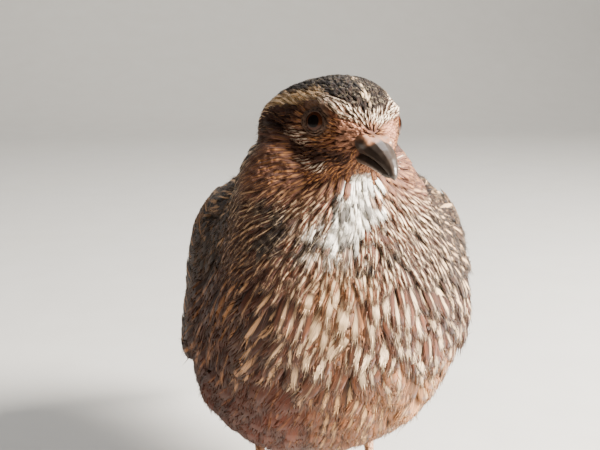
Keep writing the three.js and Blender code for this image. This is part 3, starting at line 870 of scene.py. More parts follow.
def lay_feathers(kind, roots, headings, lengths, halves, rises, look, cells, rows, root_uv, bow=0.12, fray=0.3,
                 strands=0, splay=0.25):
    """One mesh of many feathers. Sizes are in metres, one value for each feather."""
    count = len(roots)
    body = 1 - fray * 0.6
    spine, out, along = walk(roots, headings, lengths * body, rows)
    across = np.cross(along, out)
    columns = np.linspace(-1, 1, cells + 1)
    steps = np.linspace(0, 1, rows + 1)
    points, vane = [], []
    ripple = rng.uniform(-1, 1, (count, cells + 1)) * 0.06
    lifts = [rises * (0.15 + 0.85 * share ** 0.9) for share in steps]
    for row, share in enumerate(steps):
        for cell, column in enumerate(columns):
            drop = (bow * column ** 2 + ripple[:, cell] * share) * halves
            points.append(spine[row] + across[row] * (column * swelling(share) * halves)[:, None]
                          + out[row] * (lifts[row] - drop)[:, None])
            vane.append(np.column_stack([np.full(count, (column + 1) / 2), np.full(count, share * body)]))
    thickness = np.minimum(halves * 0.10, 0.12 * MM)
    for row, share in enumerate(steps):
        points.append(spine[row] + out[row] * (lifts[row] - thickness)[:, None])
        vane.append(np.column_stack([np.full(count, 0.5), np.full(count, share * body)]))
    last = rows * (cells + 1)
    for cell in range(cells):
        points.append((points[last + cell] + points[last + cell + 1]) / 2 - out[-1] * thickness[:, None] * 0.6)
        vane.append((vane[last + cell] + vane[last + cell + 1]) / 2)
    for cell in range(cells):
        middle = (columns[cell] + columns[cell + 1]) / 2
        reach = lengths * fray * (0.55 + 0.55 * rng.random(count)) * (1 - 0.45 * middle ** 2)
        drift = halves * (rng.uniform(-0.16, 0.16, count) - 0.10 * middle)
        base = (points[last + cell] + points[last + cell + 1]) / 2
        points.append(base + along[-1] * reach[:, None] + across[-1] * drift[:, None]
                      - out[-1] * (reach * 0.06)[:, None])
        vane.append(np.column_stack([np.full(count, (middle + 1) / 2), body + reach / lengths]))
    for strand in range(strands):
        column = np.clip((strand + 0.5) / strands * 2 - 1 + rng.uniform(-0.15, 0.15, count), -0.95, 0.95)
        row = rows - 1 if strand % 2 else rows
        start = steps[row]
        root = (spine[row] + across[row] * (column * swelling(start) * halves)[:, None]
                + out[row] * (lifts[row] - bow * column ** 2 * halves + 0.02 * MM)[:, None])
        reach = lengths * ((1 - start) * body + fray * rng.uniform(0.5, 1.35, count))
        aside = reach * (splay * column + rng.normal(0, 0.10, count))
        top = root + along[row] * reach[:, None] + across[row] * aside[:, None] + out[row] * (
            reach * rng.uniform(-0.06, 0.10, count))[:, None]
        thin = halves * 0.055
        side_step, down_step = across[row] * thin[:, None], out[row] * (thin * 1.2)[:, None]
        points += [root - side_step, root + side_step, root - down_step, top]
        at_root = np.column_stack([(column + 1) / 2, np.full(count, start * body)])
        vane += [at_root, at_root, at_root, at_root + np.column_stack([np.zeros(count), reach / lengths])]
    faces = vane_faces(cells, rows)
    first = len(points) - 4 * strands
    if strands:
        faces = np.vstack([faces, strand_faces(first, strands)])
    return mesh_of(kind, np.array(points).transpose(1, 0, 2), np.array(vane).transpose(1, 0, 2), faces, look,
                   root_uv)


MARGIN = 2.2 * MM


def mesh_of(kind, points, vane, faces, look, root_uv):
    """Writes feathers (feather, point, xyz) as one object with its maps and colour attributes."""
    points = np.clip(points, np.array(solid_low) - MARGIN, np.array(solid_high) + MARGIN)
    count, per = points.shape[:2]
    triangles = (faces[None] + (np.arange(count) * per)[:, None, None]).reshape(-1, 3)
    mesh = bpy.data.meshes.new(kind)
    mesh.vertices.add(count * per)
    mesh.vertices.foreach_set("co", points.reshape(-1).astype(np.float32))
    mesh.loops.add(triangles.size)
    mesh.loops.foreach_set("vertex_index", triangles.ravel().astype(np.int32))
    mesh.polygons.add(len(triangles))
    mesh.polygons.foreach_set("loop_start", np.arange(0, triangles.size, 3, dtype=np.int32))
    mesh.polygons.foreach_set("use_smooth", np.ones(len(triangles), bool))
    mesh.update()
    patch = root_uv[:, None] + (vane - 0.5) * 0.003
    for name, values in (("OFBake", patch), ("Vane", vane)):
        layer = mesh.uv_layers.new(name=name)
        layer.data.foreach_set("uv", values.reshape(-1, 2)[triangles.ravel()].ravel().astype(np.float32))
    piece = bpy.data.objects.new(kind, mesh)
    bpy.context.scene.collection.objects.link(piece)
    repeat = lambda values: np.repeat(values, per, axis=0)
    colour_attribute(piece, "Ground", repeat(look["ground"]))
    colour_attribute(piece, "Mark", repeat(look["mark"]))
    plan = np.column_stack([look["streak"], look["bars"], look["tip"], rng.random(count)])
    colour_attribute(piece, "Plan", repeat(plan))
    return piece


# %% [markdown]
# ## The feather's finish
# One material serves every feather, because the plan of the markings is the same on all. It reads the
# vane's own map, across and along the feather: a pale shaft streak with a dark edge, wavy bars, a tip, and
# the fine slanting barbs as lines in colour and in the bump. Sheen stands for the soft edges of the barbs.
# Each vane darkens towards its root: partly the grey down there, partly painted shade under the feather above.

# %% Finish of the vanes
def vane_finish(name, barbs, root_down_and_shade, ragged=0.9, bar_count=16.0, sheen=0.06, gloss=0.20):
    feather = Finish(name)
    vane_map = feather.put("ShaderNodeUVMap", uv_map="Vane")
    parts = feather.tree.nodes.new("ShaderNodeSeparateXYZ")
    feather.tree.links.new(vane_map, parts.inputs[0])
    side, along = parts.outputs[0], parts.outputs[1]
    across = feather.calc("MULTIPLY", feather.calc("ABSOLUTE", feather.calc("SUBTRACT", side, 0.5)), 2.0)
    plan = feather.tree.nodes.new("ShaderNodeSeparateColor")
    feather.tree.links.new(feather.attribute("Plan"), plan.inputs[0])
    streak, bars, tip = plan.outputs
    seed = feather.calc("MULTIPLY", feather.attribute("Plan", out=3), 61.0)
    # Barbs leave the shaft at a slant, so a barb keeps the same value of across less a part of along
    barb = feather.calc("MULTIPLY", feather.calc("SUBTRACT", across, feather.calc("MULTIPLY", along, 0.9)), barbs)
    half = feather.calc("ADD", seed, feather.calc("MULTIPLY", feather.calc("GREATER_THAN", side, 0.5), 5.0))
    hair_place = feather.put("ShaderNodeCombineXYZ", barb, feather.calc("MULTIPLY", along, 1.6), half)
    hair = feather.noise(hair_place, 1.0, 2.0, 0.6)
    loose = feather.calc("MULTIPLY", feather.calc("SUBTRACT", hair, 0.5), ragged)
    # The streak is slender at the root, broadest past the middle and pointed again at the tip
    grow = feather.calc("MULTIPLY", feather.ease(along, 0.0, 0.6, 0.30, 1.15), feather.ease(along, 0.70, 1.05, 1.0, 0.45))
    width = feather.calc("MULTIPLY", streak, grow)
    edge = feather.calc("ADD", across, loose)
    has_streak = feather.ease(streak, 0.02, 0.10)
    on_streak = feather.calc("MULTIPLY", feather.ease(edge, feather.calc("ADD", width, 0.08),
                                                      feather.calc("SUBTRACT", width, 0.08)), has_streak)
    rim = feather.calc("MULTIPLY", feather.ease(edge, feather.calc("ADD", width, 0.50),
                                                feather.calc("ADD", width, 0.05)), has_streak)
    # Bars slant back from the shaft, wander, and fade out in places
    slant = feather.calc("SUBTRACT", along, feather.calc("MULTIPLY", across, 0.16))
    wander = feather.noise(feather.put("ShaderNodeCombineXYZ", feather.calc("MULTIPLY", side, 2.5),
                                       feather.calc("MULTIPLY", along, 4.0), half), 1.0, 2.0)
    wave = feather.calc("SINE", feather.calc("ADD", feather.calc("MULTIPLY", slant, bar_count),
                                             feather.calc("ADD", seed, feather.calc("MULTIPLY", wander, 7.0))))
    broken = feather.ease(wander, 0.36, 0.56)
    on_bars = feather.calc("MULTIPLY", feather.calc("MULTIPLY", feather.ease(wave, 0.45, 0.85), bars), broken)
    on_tip = feather.calc("MULTIPLY", feather.ease(feather.calc("ADD", along, feather.calc("MULTIPLY", loose, 0.4)),
                                                   0.74, 0.90), tip)
    pale_mark = feather.ease(feather.calc("MULTIPLY", feather.put("ShaderNodeRGBToBW", feather.attribute("Mark")), 1.0),
                             0.08, 0.25, 0.0, 0.72)
    ground = feather.mix(feather.calc("MULTIPLY", rim, pale_mark), feather.attribute("Ground"), (0.012, 0.007, 0.005))
    barred = feather.mix(feather.calc("MULTIPLY", on_bars, 0.6), ground, feather.attribute("Mark"))
    marked = feather.mix(feather.calc("MAXIMUM", on_streak, on_tip), barred, feather.attribute("Mark"))
    # Each vane darkens towards its root, less on pale feathers: partly the grey down at the base, partly painted shade
    # where the feather above covers it.
    root = feather.ease(feather.put("ShaderNodeRGBToBW", feather.attribute("Ground")), 0.35, 0.75, root_down_and_shade, 0.92)
    shade = feather.calc("MULTIPLY", feather.ease(along, 0.0, 0.6, root, 1.0),
                         feather.ease(hair, 0.30, 0.70, 0.62, 1.14))
    tint = feather.put("ShaderNodeCombineColor", shade, shade, shade)
    colour = feather.mix(1.0, marked, tint, "MULTIPLY")
    feather.bump(hair, 0.6, 0.06 * MM)
    return feather.surface(colour, feather.ease(hair, 0.3, 0.7, 0.56, 0.74), Sheen_Weight=sheen,
                           Sheen_Roughness=0.5, Specular_IOR_Level=gloss)


body_vane = vane_finish("body_vane", 13.0, 0.40)
fine_vane = vane_finish("fine_vane", 6.0, 0.55, 0.6, 16.0, 0.02, 0.10)
flight_vane = vane_finish("flight_vane", 22.0, 0.60, 0.4, 34.0, 0.04, 0.18)

# %% [markdown]
# ## Where feathers grow
# Feathers stand in even, staggered order, closer on the face than on the belly. Points are drawn at random
# on the skin's triangles by their area, and a point is kept only if no other root is nearer than the
# spacing wanted there. That gives the even but not ruled spacing of real plumage.

# %% Draw points on the skin and thin them out
triangle_area = np.linalg.norm(np.cross(triangle_places[:, 1] - triangle_places[:, 0],
                                        triangle_places[:, 2] - triangle_places[:, 0]), axis=1) / 2
triangle_owner = skin_owner[skin_triangles[:, 0]]
triangle_wing = wing_share[skin_triangles].mean(1)


def scatter(count, weights):
    """Random points on the skin's triangles: place, outward direction, solid, map place."""
    odds = triangle_area * weights
    chosen = rng.choice(len(odds), count, p=odds / odds.sum())
    a, b = rng.random((2, count))
    fold = a + b > 1
    a[fold], b[fold] = 1 - a[fold], 1 - b[fold]
    corner = triangle_places[chosen]
    points = corner[:, 0] + a[:, None] * (corner[:, 1] - corner[:, 0]) + b[:, None] * (corner[:, 2] - corner[:, 0])
    return {"points": points, "normals": triangle_normals[chosen], "owner": triangle_owner[chosen],
            "wing": triangle_wing[chosen], "uv": triangle_uv[chosen]}


def thin_out(drawn, spacing, stretch=1.0):
    """Keeps a root only where no kept one is nearer than its spacing, which is stretch times wider along the lie."""
    lay = lie(drawn["points"], drawn["normals"], drawn["wing"])
    cell = float(spacing.max()) * stretch
    keys = np.floor(drawn["points"] / cell).astype(int)
    shrink = 1 - 1 / stretch ** 2
    around = [(a, b, c) for a in (-1, 0, 1) for b in (-1, 0, 1) for c in (-1, 0, 1)]
    boxes, kept = {}, []
    rows = zip(map(tuple, keys.tolist()), drawn["points"].tolist(), lay.tolist(), spacing.tolist())
    for i, (key, (x, y, z), (hx, hy, hz), gap) in enumerate(rows):
        limit = gap * gap
        near = False
        for a, b, c in around:
            for px, py, pz in boxes.get((key[0] + a, key[1] + b, key[2] + c), ()):
                dx, dy, dz = px - x, py - y, pz - z
                ahead = dx * hx + dy * hy + dz * hz
                if dx * dx + dy * dy + dz * dz - shrink * ahead * ahead < limit:
                    near = True
                    break
            if near:
                break
        if not near:
            boxes.setdefault(key, []).append((x, y, z))
            kept.append(i)
    return {name: values[kept] for name, values in drawn.items()}


triangle_middle = triangle_places.mean(1)
triangle_head = on_head(triangle_middle)
is_head = owned_by(triangle_owner, "head")
is_face_part = owned_by(triangle_owner, *FACE_SOLIDS)
is_wing = owned_by(triangle_owner, "wing_left", "wing_right", "tail")
eye_centres = [middle_of("eye_left"), middle_of("eye_right")]
EYE_AXIS = {"left": unit(np.array((0.53, 0.84, 0.12)) @ HEAD_AXES), "right": unit(np.array((0.53, -0.84, 0.12))
                                                                               @ HEAD_AXES)}


def off_eyes(points, radius):
    """False for points that lie on an eye's opening."""
    clear = np.ones(len(points), bool)
    for centre, axis in zip(eye_centres, (EYE_AXIS["left"], EYE_AXIS["right"])):
        offset = points - centre
        height = offset @ axis
        around = np.linalg.norm(offset - height[:, None] * axis, axis=1)
        clear &= ~((around < radius) & (height > 0))
    return clear


def keep_off_eyes(points, headings, lengths, radius):
    """Shortens feathers that would lie over an eye, and tells which can stay."""
    best = np.zeros(len(points))
    for share in (1.0, 0.8, 0.6, 0.45):
        clear = np.ones(len(points), bool)
        for part in (0.5, 1.0):
            clear &= off_eyes(points + headings * (lengths * share * part)[:, None], radius)
        best = np.where((best == 0) & clear, share, best)
    return lengths * best, best > 0


def fitted(roots, headings, lengths, reach=1.1, ahead=0.3):
    """Shortens feathers whose ends would leave the skin, as at an edge or in a fold, and tells which can stay."""
    best = np.zeros(len(roots))
    for share in (1.0, 0.7, 0.45):
        spine, out, along = walk(roots, headings, lengths * share * 0.8, 3)
        ends = spine[-1] + along[-1] * (lengths * share * ahead)[:, None]
        stray = np.linalg.norm(ends - touch(ends)[0], axis=1) > reach * MM
        bent = (out[0] * out[-1]).sum(1) < 0.35
        best = np.where((best == 0) & ~stray & ~bent, share, best)
    return lengths * best, best > 0


# %% Sizes of the feathers over the body
def sizes(points):
    """Length and half width of the body feathers, in mm."""
    x, y, z = (points / MM).T
    high = ease(z, 80, 100)
    length = 11.6 - 5.2 * high
    half = 2.75 - 1.4 * high
    back = ease(y, -40, -20)
    length = length + 1.2 * back * (1 - high)
    half = half + 0.2 * back * (1 - high)
    low = ease(z, 37, 30)
    length = length - 5.0 * low
    half = half - 0.9 * low
    collar = ease(z, 82, 87) * ease(y, -48, -54)
    length = length * (1 - collar) + (6.8 - 0.6 * high) * collar
    half = half * (1 - collar) + (1.0 - 0.2 * high) * collar
    return length, half


# %% Lay the body's feathers
def dress_body():
    drawn = scatter(70000, np.where(is_head | is_face_part | is_wing, 0.0, 1.0))
    length, half = sizes(drawn["points"])
    drawn.update(length=length, half=half)
    kept = thin_out(drawn, half * 0.80 * MM, 1.75)
    count = len(kept["points"])
    turn = 1.3 * ruffle(kept["points"]) + rng.normal(0, 0.12, count)
    headings = turned(lie(kept["points"], kept["normals"], kept["wing"]), kept["normals"], turn)
    middles = kept["points"] + headings * (kept["length"] * 0.68 * MM)[:, None] + rng.normal(0, 0.7 * MM, (count, 3))
    look = markings(middles, kept["owner"], kept["wing"])
    look["ground"] = look["ground"] * rng.normal(1.0, 0.22, (count, 1)).clip(0.45, 1.5)
    look["mark"] = look["mark"] * rng.normal(0.95, 0.14, (count, 1)).clip(0.5, 1.08)
    look["streak"] = look["streak"] * rng.uniform(0.25, 1.45, count)
    bold = rng.random(count) < 0.34
    look["streak"] = np.where(look["bars"] > 0.3, np.where(bold, rng.uniform(0.16, 0.30, count), 0.02), look["streak"])
    look["bars"] *= rng.uniform(0.3, 1.1, count)
    rises = (1.05 + 0.75 * rng.random(count)) * MM
    lengths, stays = fitted(kept["points"], headings, kept["length"] * rng.uniform(0.8, 1.25, count) * MM, 0.8)
    order = np.argsort(kept["points"][:, 1])
    order = order[stays[order]]
    share = math.ceil(count * (len(vane_faces(6, 4)) + 4 * 12) / 190000)
    pieces = []
    for number, part in enumerate(np.array_split(order, share)):
        pieces.append(lay_feathers("feathers_body_%d" % (number + 1), kept["points"][part], headings[part],
                                   lengths[part], kept["half"][part] * rng.uniform(0.8, 1.12, len(part)) * MM,
                                   rises[part], {k: v[part] for k, v in look.items()}, 6, 4, kept["uv"][part],
                                   fray=0.38, strands=12))
    print("body feathers", count, "in", share, "pieces")
    return pieces


def wear(pieces, finish):
    for piece in pieces:
        piece.data.materials.append(finish)
        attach(piece, "root")


wear(dress_body(), body_vane)


# %% Lay the head's small feathers
def dress_head():
    drawn = scatter(90000, np.where(is_head | (triangle_middle[:, 2] / MM > 100) & ~is_face_part & ~is_wing, 1.0, 0.0))
    keep = off_eyes(drawn["points"], 3.4 * MM)
    drawn = {k: v[keep] for k, v in drawn.items()}
    place = on_head(drawn["points"])
    face = ease(place[:, 0], -16, -2)
    near_bill = ease(place[:, 0], 5, 11)
    top = ease(place[:, 2], 4, 8)
    drawn.update(length=4.6 - 1.9 * face - 0.8 * near_bill + 0.5 * top * face,
                 half=0.92 - 0.36 * face - 0.14 * near_bill - 0.10 * top)
    kept = thin_out(drawn, kept_gap(drawn) * MM, 1.5)
    count = len(kept["points"])
    turn = 1.4 * ruffle(kept["points"] * 2.2) + rng.normal(0, 0.13, count)
    headings = turned(lie(kept["points"], kept["normals"], kept["wing"]), kept["normals"], turn)
    lengths, clear = keep_off_eyes(kept["points"], headings, kept["length"] * rng.uniform(0.8, 1.25, count) * MM,
                                   3.45 * MM)
    look = markings(kept["points"] + headings * (lengths * 0.4)[:, None], kept["owner"], kept["wing"])
    look["ground"] = look["ground"] * rng.normal(1.0, 0.20, (count, 1)).clip(0.5, 1.5)
    tipped = (look["tip"] > 0.15) & (rng.random(count) < look["tip"])
    look["tip"] = tipped * rng.uniform(0.45, 1.0, count)
    look["mark"] = look["mark"] * rng.normal(0.92, 0.20, (count, 1)).clip(0.45, 1.3)
    look["streak"] = look["streak"] * rng.uniform(0.3, 1.4, count)
    rises = (0.50 + 0.35 * rng.random(count)) * MM
    share = math.ceil(count * (len(vane_faces(3, 3)) + 4 * 5) / 190000)
    order = np.argsort(kept["points"][:, 0])
    order = order[clear[order]]
    pieces = []
    for number, part in enumerate(np.array_split(order, share)):
        pieces.append(lay_feathers("feathers_head_%d" % (number + 1), kept["points"][part], headings[part],
                                   lengths[part], kept["half"][part] * MM, rises[part],
                                   {k: v[part] for k, v in look.items()}, 3, 3, kept["uv"][part], fray=0.45,
                                   strands=5))
    print("head feathers", count, "in", share, "pieces")
    return pieces


def kept_gap(drawn):
    return drawn["half"] * 0.95


wear(dress_head(), fine_vane)

# %% [markdown]
# ## The eyes
# A bird's eye is a ball with a clear, bulging window in front. A sphere is added at the ball's place and
# size, its cap is pushed out a little, and the colours go by the distance from the middle of the window:
# black pupil, dark brown iris, and a dark rim. A high gloss gives the wet look.

# %% Model and finish the eyes
wet = Finish("wet_eye")
ring = wet.attribute("Ring", out=2)
iris_noise = wet.noise(wet.object_place(), 2600.0, 3.0)
iris = wet.mix(iris_noise, linear("22110a"), linear("4a2816"))
eye_colour = wet.mix(wet.ease(ring, 1.45, 1.65), (0.004, 0.003, 0.003), iris)
eye_colour = wet.mix(wet.ease(ring, 2.7, 3.1), eye_colour, (0.006, 0.004, 0.003))
wet.surface(eye_colour, wet.ease(ring, 1.0, 3.5, 0.04, 0.09), Specular_IOR_Level=0.30, IOR=1.40)


def make_eye(side):
    low, high = (np.array(v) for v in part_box("eye_" + side))
    centre, radius = (low + high) / 2, float((high - low).max()) / 2
    axis = Vector(EYE_AXIS[side])
    nothing_selected()
    bpy.ops.mesh.primitive_uv_sphere_add(segments=48, ring_count=32, radius=radius, location=centre,
                                         rotation=axis.to_track_quat("Z", "Y").to_euler())
    ball = bpy.context.active_object
    ball.name = "eyeball_" + side
    placed(ball)
    reach = (coordinates(ball) - centre) @ np.array(axis)
    edit(ball)
    bpy.ops.object.mode_set(mode="OBJECT")
    for vertex, height in zip(ball.data.vertices, reach):
        vertex.select = bool(height > radius * 0.80)
    bpy.ops.object.mode_set(mode="EDIT")
    bpy.ops.transform.translate(value=axis * 0.22 * MM)
    bpy.ops.object.mode_set(mode="OBJECT")
    finish_with(ball, "SMOOTH", factor=0.5, iterations=4)
    offset = coordinates(ball) - centre
    height = offset @ np.array(axis)
    around = np.linalg.norm(offset - height[:, None] * np.array(axis), axis=1) / MM
    around = np.where(height > 0, around, 4.4)
    layer = ball.data.attributes.new("Ring", "FLOAT", "POINT")
    layer.data.foreach_set("value", around.astype(np.float32))
    take(ball)
    bpy.ops.object.shade_smooth()
    ball.data.materials.append(wet.material)
    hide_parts("eye_" + side)
    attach(ball, "root")
    print("eye", side, "radius", round(radius / MM, 2), "mm")
    return ball, centre, radius


eyes = {side: make_eye(side) for side in ("left", "right")}

# %% [markdown]
# ## The lids
# Round each eye lies a narrow, bare, wrinkled ring of grey-brown skin. It starts as a torus on the ball,
# square to the line of sight, is drawn out a little along the head to an almond shape, and gets its
# wrinkles from a displaced, fine mesh.

# %% Model and finish the lids
lid_skin = Finish("lid_skin")
lid_noise = lid_skin.noise(lid_skin.object_place(), 1800.0, 4.0)
lid_colour = lid_skin.mix(lid_skin.ease(lid_noise, 0.3, 0.7), linear("1f140f"), linear("5e483b"))
lid_skin.bump(lid_noise, 0.5, 0.12 * MM)
lid_skin.surface(lid_colour, lid_skin.ease(lid_noise, 0.2, 0.8, 0.55, 0.75), Specular_IOR_Level=0.2)
crease = bpy.data.textures.new("crease", "CLOUDS")
crease.noise_scale, crease.noise_depth = 0.7 * MM, 2


def make_lid(side, name, opening, thick, out, stretch):
    """A ring on the ball: its opening and thickness in mm, how far out it stands, and its almond stretch."""
    ball, centre, radius = eyes[side]
    axis = Vector(EYE_AXIS[side])
    height = math.sqrt((radius / MM) ** 2 - opening ** 2) + out
    middle = Vector(centre) + axis * height * MM
    nothing_selected()
    bpy.ops.mesh.primitive_torus_add(major_segments=72, minor_segments=14, major_radius=opening * MM,
                                     minor_radius=thick * MM, location=middle,
                                     rotation=axis.to_track_quat("Z", "Y").to_euler())
    lid = bpy.context.active_object
    lid.name = name + side
    placed(lid)
    # The corners of the lids are drawn out, the front one lower than the rear one
    ahead = unit(forward - forward @ np.array(axis) * np.array(axis))
    aloft = np.cross(np.array(axis), ahead)
    edit(lid)
    for way, push in ((1, (ahead * 1.0 - upward * 0.35)), (-1, (-ahead * 0.9 + upward * 0.2))):
        bpy.ops.object.mode_set(mode="OBJECT")
        offset = coordinates(lid) - np.array(middle)
        share = way * (offset @ ahead) / (opening * MM)
        for vertex, value in zip(lid.data.vertices, share):
            vertex.select = bool(value > 0.90)
        bpy.ops.object.mode_set(mode="EDIT")
        bpy.ops.transform.translate(value=Vector(push) * stretch * MM)
        bpy.ops.mesh.select_all(action="DESELECT")
    bpy.ops.object.mode_set(mode="OBJECT")
    finish_with(lid, "SMOOTH", factor=0.5, iterations=6)
    finish_with(lid, "SUBSURF", levels=1, render_levels=1)
    finish_with(lid, "DISPLACE", texture=crease, strength=0.22 * MM, mid_level=0.5, texture_coords="GLOBAL")
    take(lid)
    bpy.ops.object.shade_smooth()
    lid.data.materials.append(lid_skin.material)
    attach(lid, "root")
    return lid


lids = []
for side in ("left", "right"):
    lids.append(make_lid(side, "lid_edge_", 2.50, 0.30, 0.14, 0.50))
    lids.append(make_lid(side, "lid_fold_", 3.10, 0.36, 0.24, 0.62))
print("lids", [len(lid.data.polygons) for lid in lids])

# %% [markdown]
# ## The bill
# The bill is horn over bone, short and curved, with a soft pinkish flap over each nostril. Its solids have
# the right form with flat facets, so copies are remeshed finely and smoothed. The colour runs from the
# pale base and flaps to dark horn along the ridge and the cutting edges, by place on the head.

# %% Model and finish the bill
def remade(names, piece_name, voxel, swell=0.0, smooth=4, sink=None):
    """A smooth closed piece from copies of some solids."""
    piece = joined_copy(names, piece_name)
    if swell:
        finish_with(piece, "DISPLACE", strength=swell * MM, mid_level=0.0)
    finish_with(piece, "REMESH", mode="VOXEL", voxel_size=voxel * MM, adaptivity=0.0)
    finish_with(piece, "SMOOTH", factor=0.5, iterations=smooth)
    if swell:
        finish_with(piece, "DISPLACE", strength=-(swell if sink is None else sink) * MM, mid_level=0.0)
    take(piece)
    bpy.ops.object.shade_smooth()
    return piece


bill_horn = Finish("bill_horn")
bill_noise = bill_horn.noise(bill_horn.object_place(), 900.0, 4.0)
bill_grey = bill_horn.mix(bill_noise, linear("241b16"), linear("40342b"))
bill_flap = bill_horn.mix(bill_noise, linear("7f543d"), linear("a07557"))
bill_colour = bill_horn.mix(bill_horn.attribute("Flap", out=2), bill_grey, bill_flap)
bill_horn.bump(bill_noise, 0.25, 0.10 * MM)
bill_horn.surface(bill_colour, bill_horn.ease(bill_noise, 0.2, 0.8, 0.32, 0.48), Coat_Weight=0.15,
                  Coat_Roughness=0.3)
for part in ("upper", "lower"):
    bill = remade(["bill_" + part], "bill_horn_" + part, 0.26, swell=0.45, smooth=3,
                  sink=0.36 if part == "upper" else 0.14)
    place = on_head(coordinates(bill))
    both = place * (1, 0, 1) + np.abs(place[:, 1:2]) * (0, 1, 0)
    flap = ease(from_line(both, [(10.6, 2.6, -1.7), (13.2, 1.6, -3.0)]), 2.6, 1.5) if part == "upper" else \
        np.zeros(len(place))
    layer = bill.data.attributes.new("Flap", "FLOAT", "POINT")
    layer.data.foreach_set("value", flap.astype(np.float32))
    bill.data.materials.append(bill_horn.material)
    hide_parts("bill_" + part)
    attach(bill, "root")
    print("bill", part, len(bill.data.polygons), "faces, to", np.round(place.max(0), 1))

# %% [markdown]
# ## Legs and claws
# A quail's leg below the feathers is bare and covered with scales: broad plates down the front and over the
# toes, small ones behind. The solids of shank and toes are remade as one smooth limb a side, and the scales
# are a cell pattern stretched round the limb, raised in the bump. The claws are remade alone, in dark horn.

# %% Model and finish the legs and claws
leg_skin = Finish("leg_skin")
leg_place = leg_skin.object_place()
scales = leg_skin.tree.nodes.new("ShaderNodeTexVoronoi")
scales.feature = "DISTANCE_TO_EDGE"
scales.inputs["Scale"].default_value = 620.0
leg_skin.tree.links.new(leg_place, scales.inputs[0])
scale_edge = leg_skin.ease(scales.outputs[0], 0.02, 0.16)
leg_noise = leg_skin.noise(leg_place, 500.0)
leg_base = leg_skin.mix(leg_noise, linear("a87b5a"), linear("c29a78"))
leg_colour = leg_skin.mix(scale_edge, linear("84593f"), leg_base)
leg_skin.bump(scale_edge, 0.6, 0.15 * MM)
leg_skin.surface(leg_colour, leg_skin.ease(leg_noise, 0.2, 0.8, 0.42, 0.60), Specular_IOR_Level=0.4)
claw_horn = Finish("claw_horn")
claw_noise = claw_horn.noise(claw_horn.object_place(), 800.0)
claw_horn.bump(claw_noise, 0.2, 0.08 * MM)
claw_horn.surface(claw_horn.mix(claw_noise, linear("54463b"), linear("7c6a5a")),
                  claw_horn.ease(claw_noise, 0.2, 0.8, 0.3, 0.45))
DIGITS = ("middle", "inner", "outer", "hind")


def model_plate():
    """One scale plate, flat and rounded, 1 mm across each way; each place gets a copy."""
    nothing_selected()
    bpy.ops.mesh.primitive_grid_add(x_subdivisions=6, y_subdivisions=4, size=1.0 * MM)
    plate = bpy.context.active_object
    plate.name = "plate"
    edit(plate)
    bpy.ops.object.mode_set(mode="OBJECT")
    for vertex in plate.data.vertices:
        vertex.select = abs(vertex.co.x) > 0.49 * MM
    bpy.ops.object.mode_set(mode="EDIT")
    bpy.ops.transform.resize(value=(1, 0.62, 1), center_override=(0, 0, 0))
    bpy.ops.object.mode_set(mode="OBJECT")
    return plate


def ends_of(name):
    """The two ends of a limb's solid along its own length, in metres, the higher one first."""
    points = coordinates(nodes[name])
    middle = points.mean(0)
    axis = np.linalg.svd(points - middle)[2][0]
    along = (points - middle) @ axis
    tips = [points[along < np.quantile(along, 0.12)].mean(0), points[along > np.quantile(along, 0.88)].mean(0)]
    return sorted(tips, key=lambda tip: -tip[2] if name.startswith("shank") else np.linalg.norm(tip[:2] - FOOT[name[4:]]))


def lay_plates(plate, leg, side):
    """Copies the plate down the shank's front and along the toes, drawn onto the limb and thickened."""
    copies = []
    rows = [("shank_" + side, 13, 2.1, Vector((0, -1, 0)), 0.12, 0.97)]
    rows += [("toe_%s_%s" % (side, digit), 4 if digit == "hind" else 7, 1.5, Vector((0, 0, 1)), 0.16, 0.92)
             for digit in DIGITS]
    for name, count, width, out, first, last in rows:
        start, end = (Vector(tip) for tip in ends_of(name))
        along = (end - start).normalized()
        out = (out - out.dot(along) * along).normalized()
        sideways = along.cross(out)
        step = (end - start).length * (last - first) / count
        for number in range(count):
            place = start.lerp(end, first + (last - first) * (number + 0.5) / count) + out * 1.6 * MM
            turn = Matrix((sideways, along, -out)).transposed().to_4x4()
            nothing_selected()
            plate.select_set(True)
            bpy.context.view_layer.objects.active = plate
            bpy.ops.object.duplicate()
            copy = bpy.context.active_object
            slim = 1 - 0.3 * number / count
            copy.matrix_world = Matrix.Translation(place) @ turn @ Matrix.Diagonal(
                (width * slim, step / MM * 1.02, 1, 1))
            placed(copy)
            finish_with(copy, "SHRINKWRAP", target=leg, wrap_method="NEAREST_SURFACEPOINT",
                        wrap_mode="ABOVE_SURFACE", offset=0.02 * MM)
            finish_with(copy, "SOLIDIFY", thickness=0.16 * MM, offset=0.6)
            finish_with(copy, "SUBSURF", levels=1, render_levels=1)
            copies.append(copy)
    nothing_selected()
    for copy in copies:
        copy.select_set(True)
    bpy.context.view_layer.objects.active = copies[0]
    bpy.ops.object.join()
    plates = bpy.context.active_object
    plates.name = "scutes_" + side
    edit(plates, "ALL")
    bpy.ops.mesh.normals_make_consistent(inside=False)
    bpy.ops.object.mode_set(mode="OBJECT")
    bpy.ops.object.shade_smooth()
    return plates


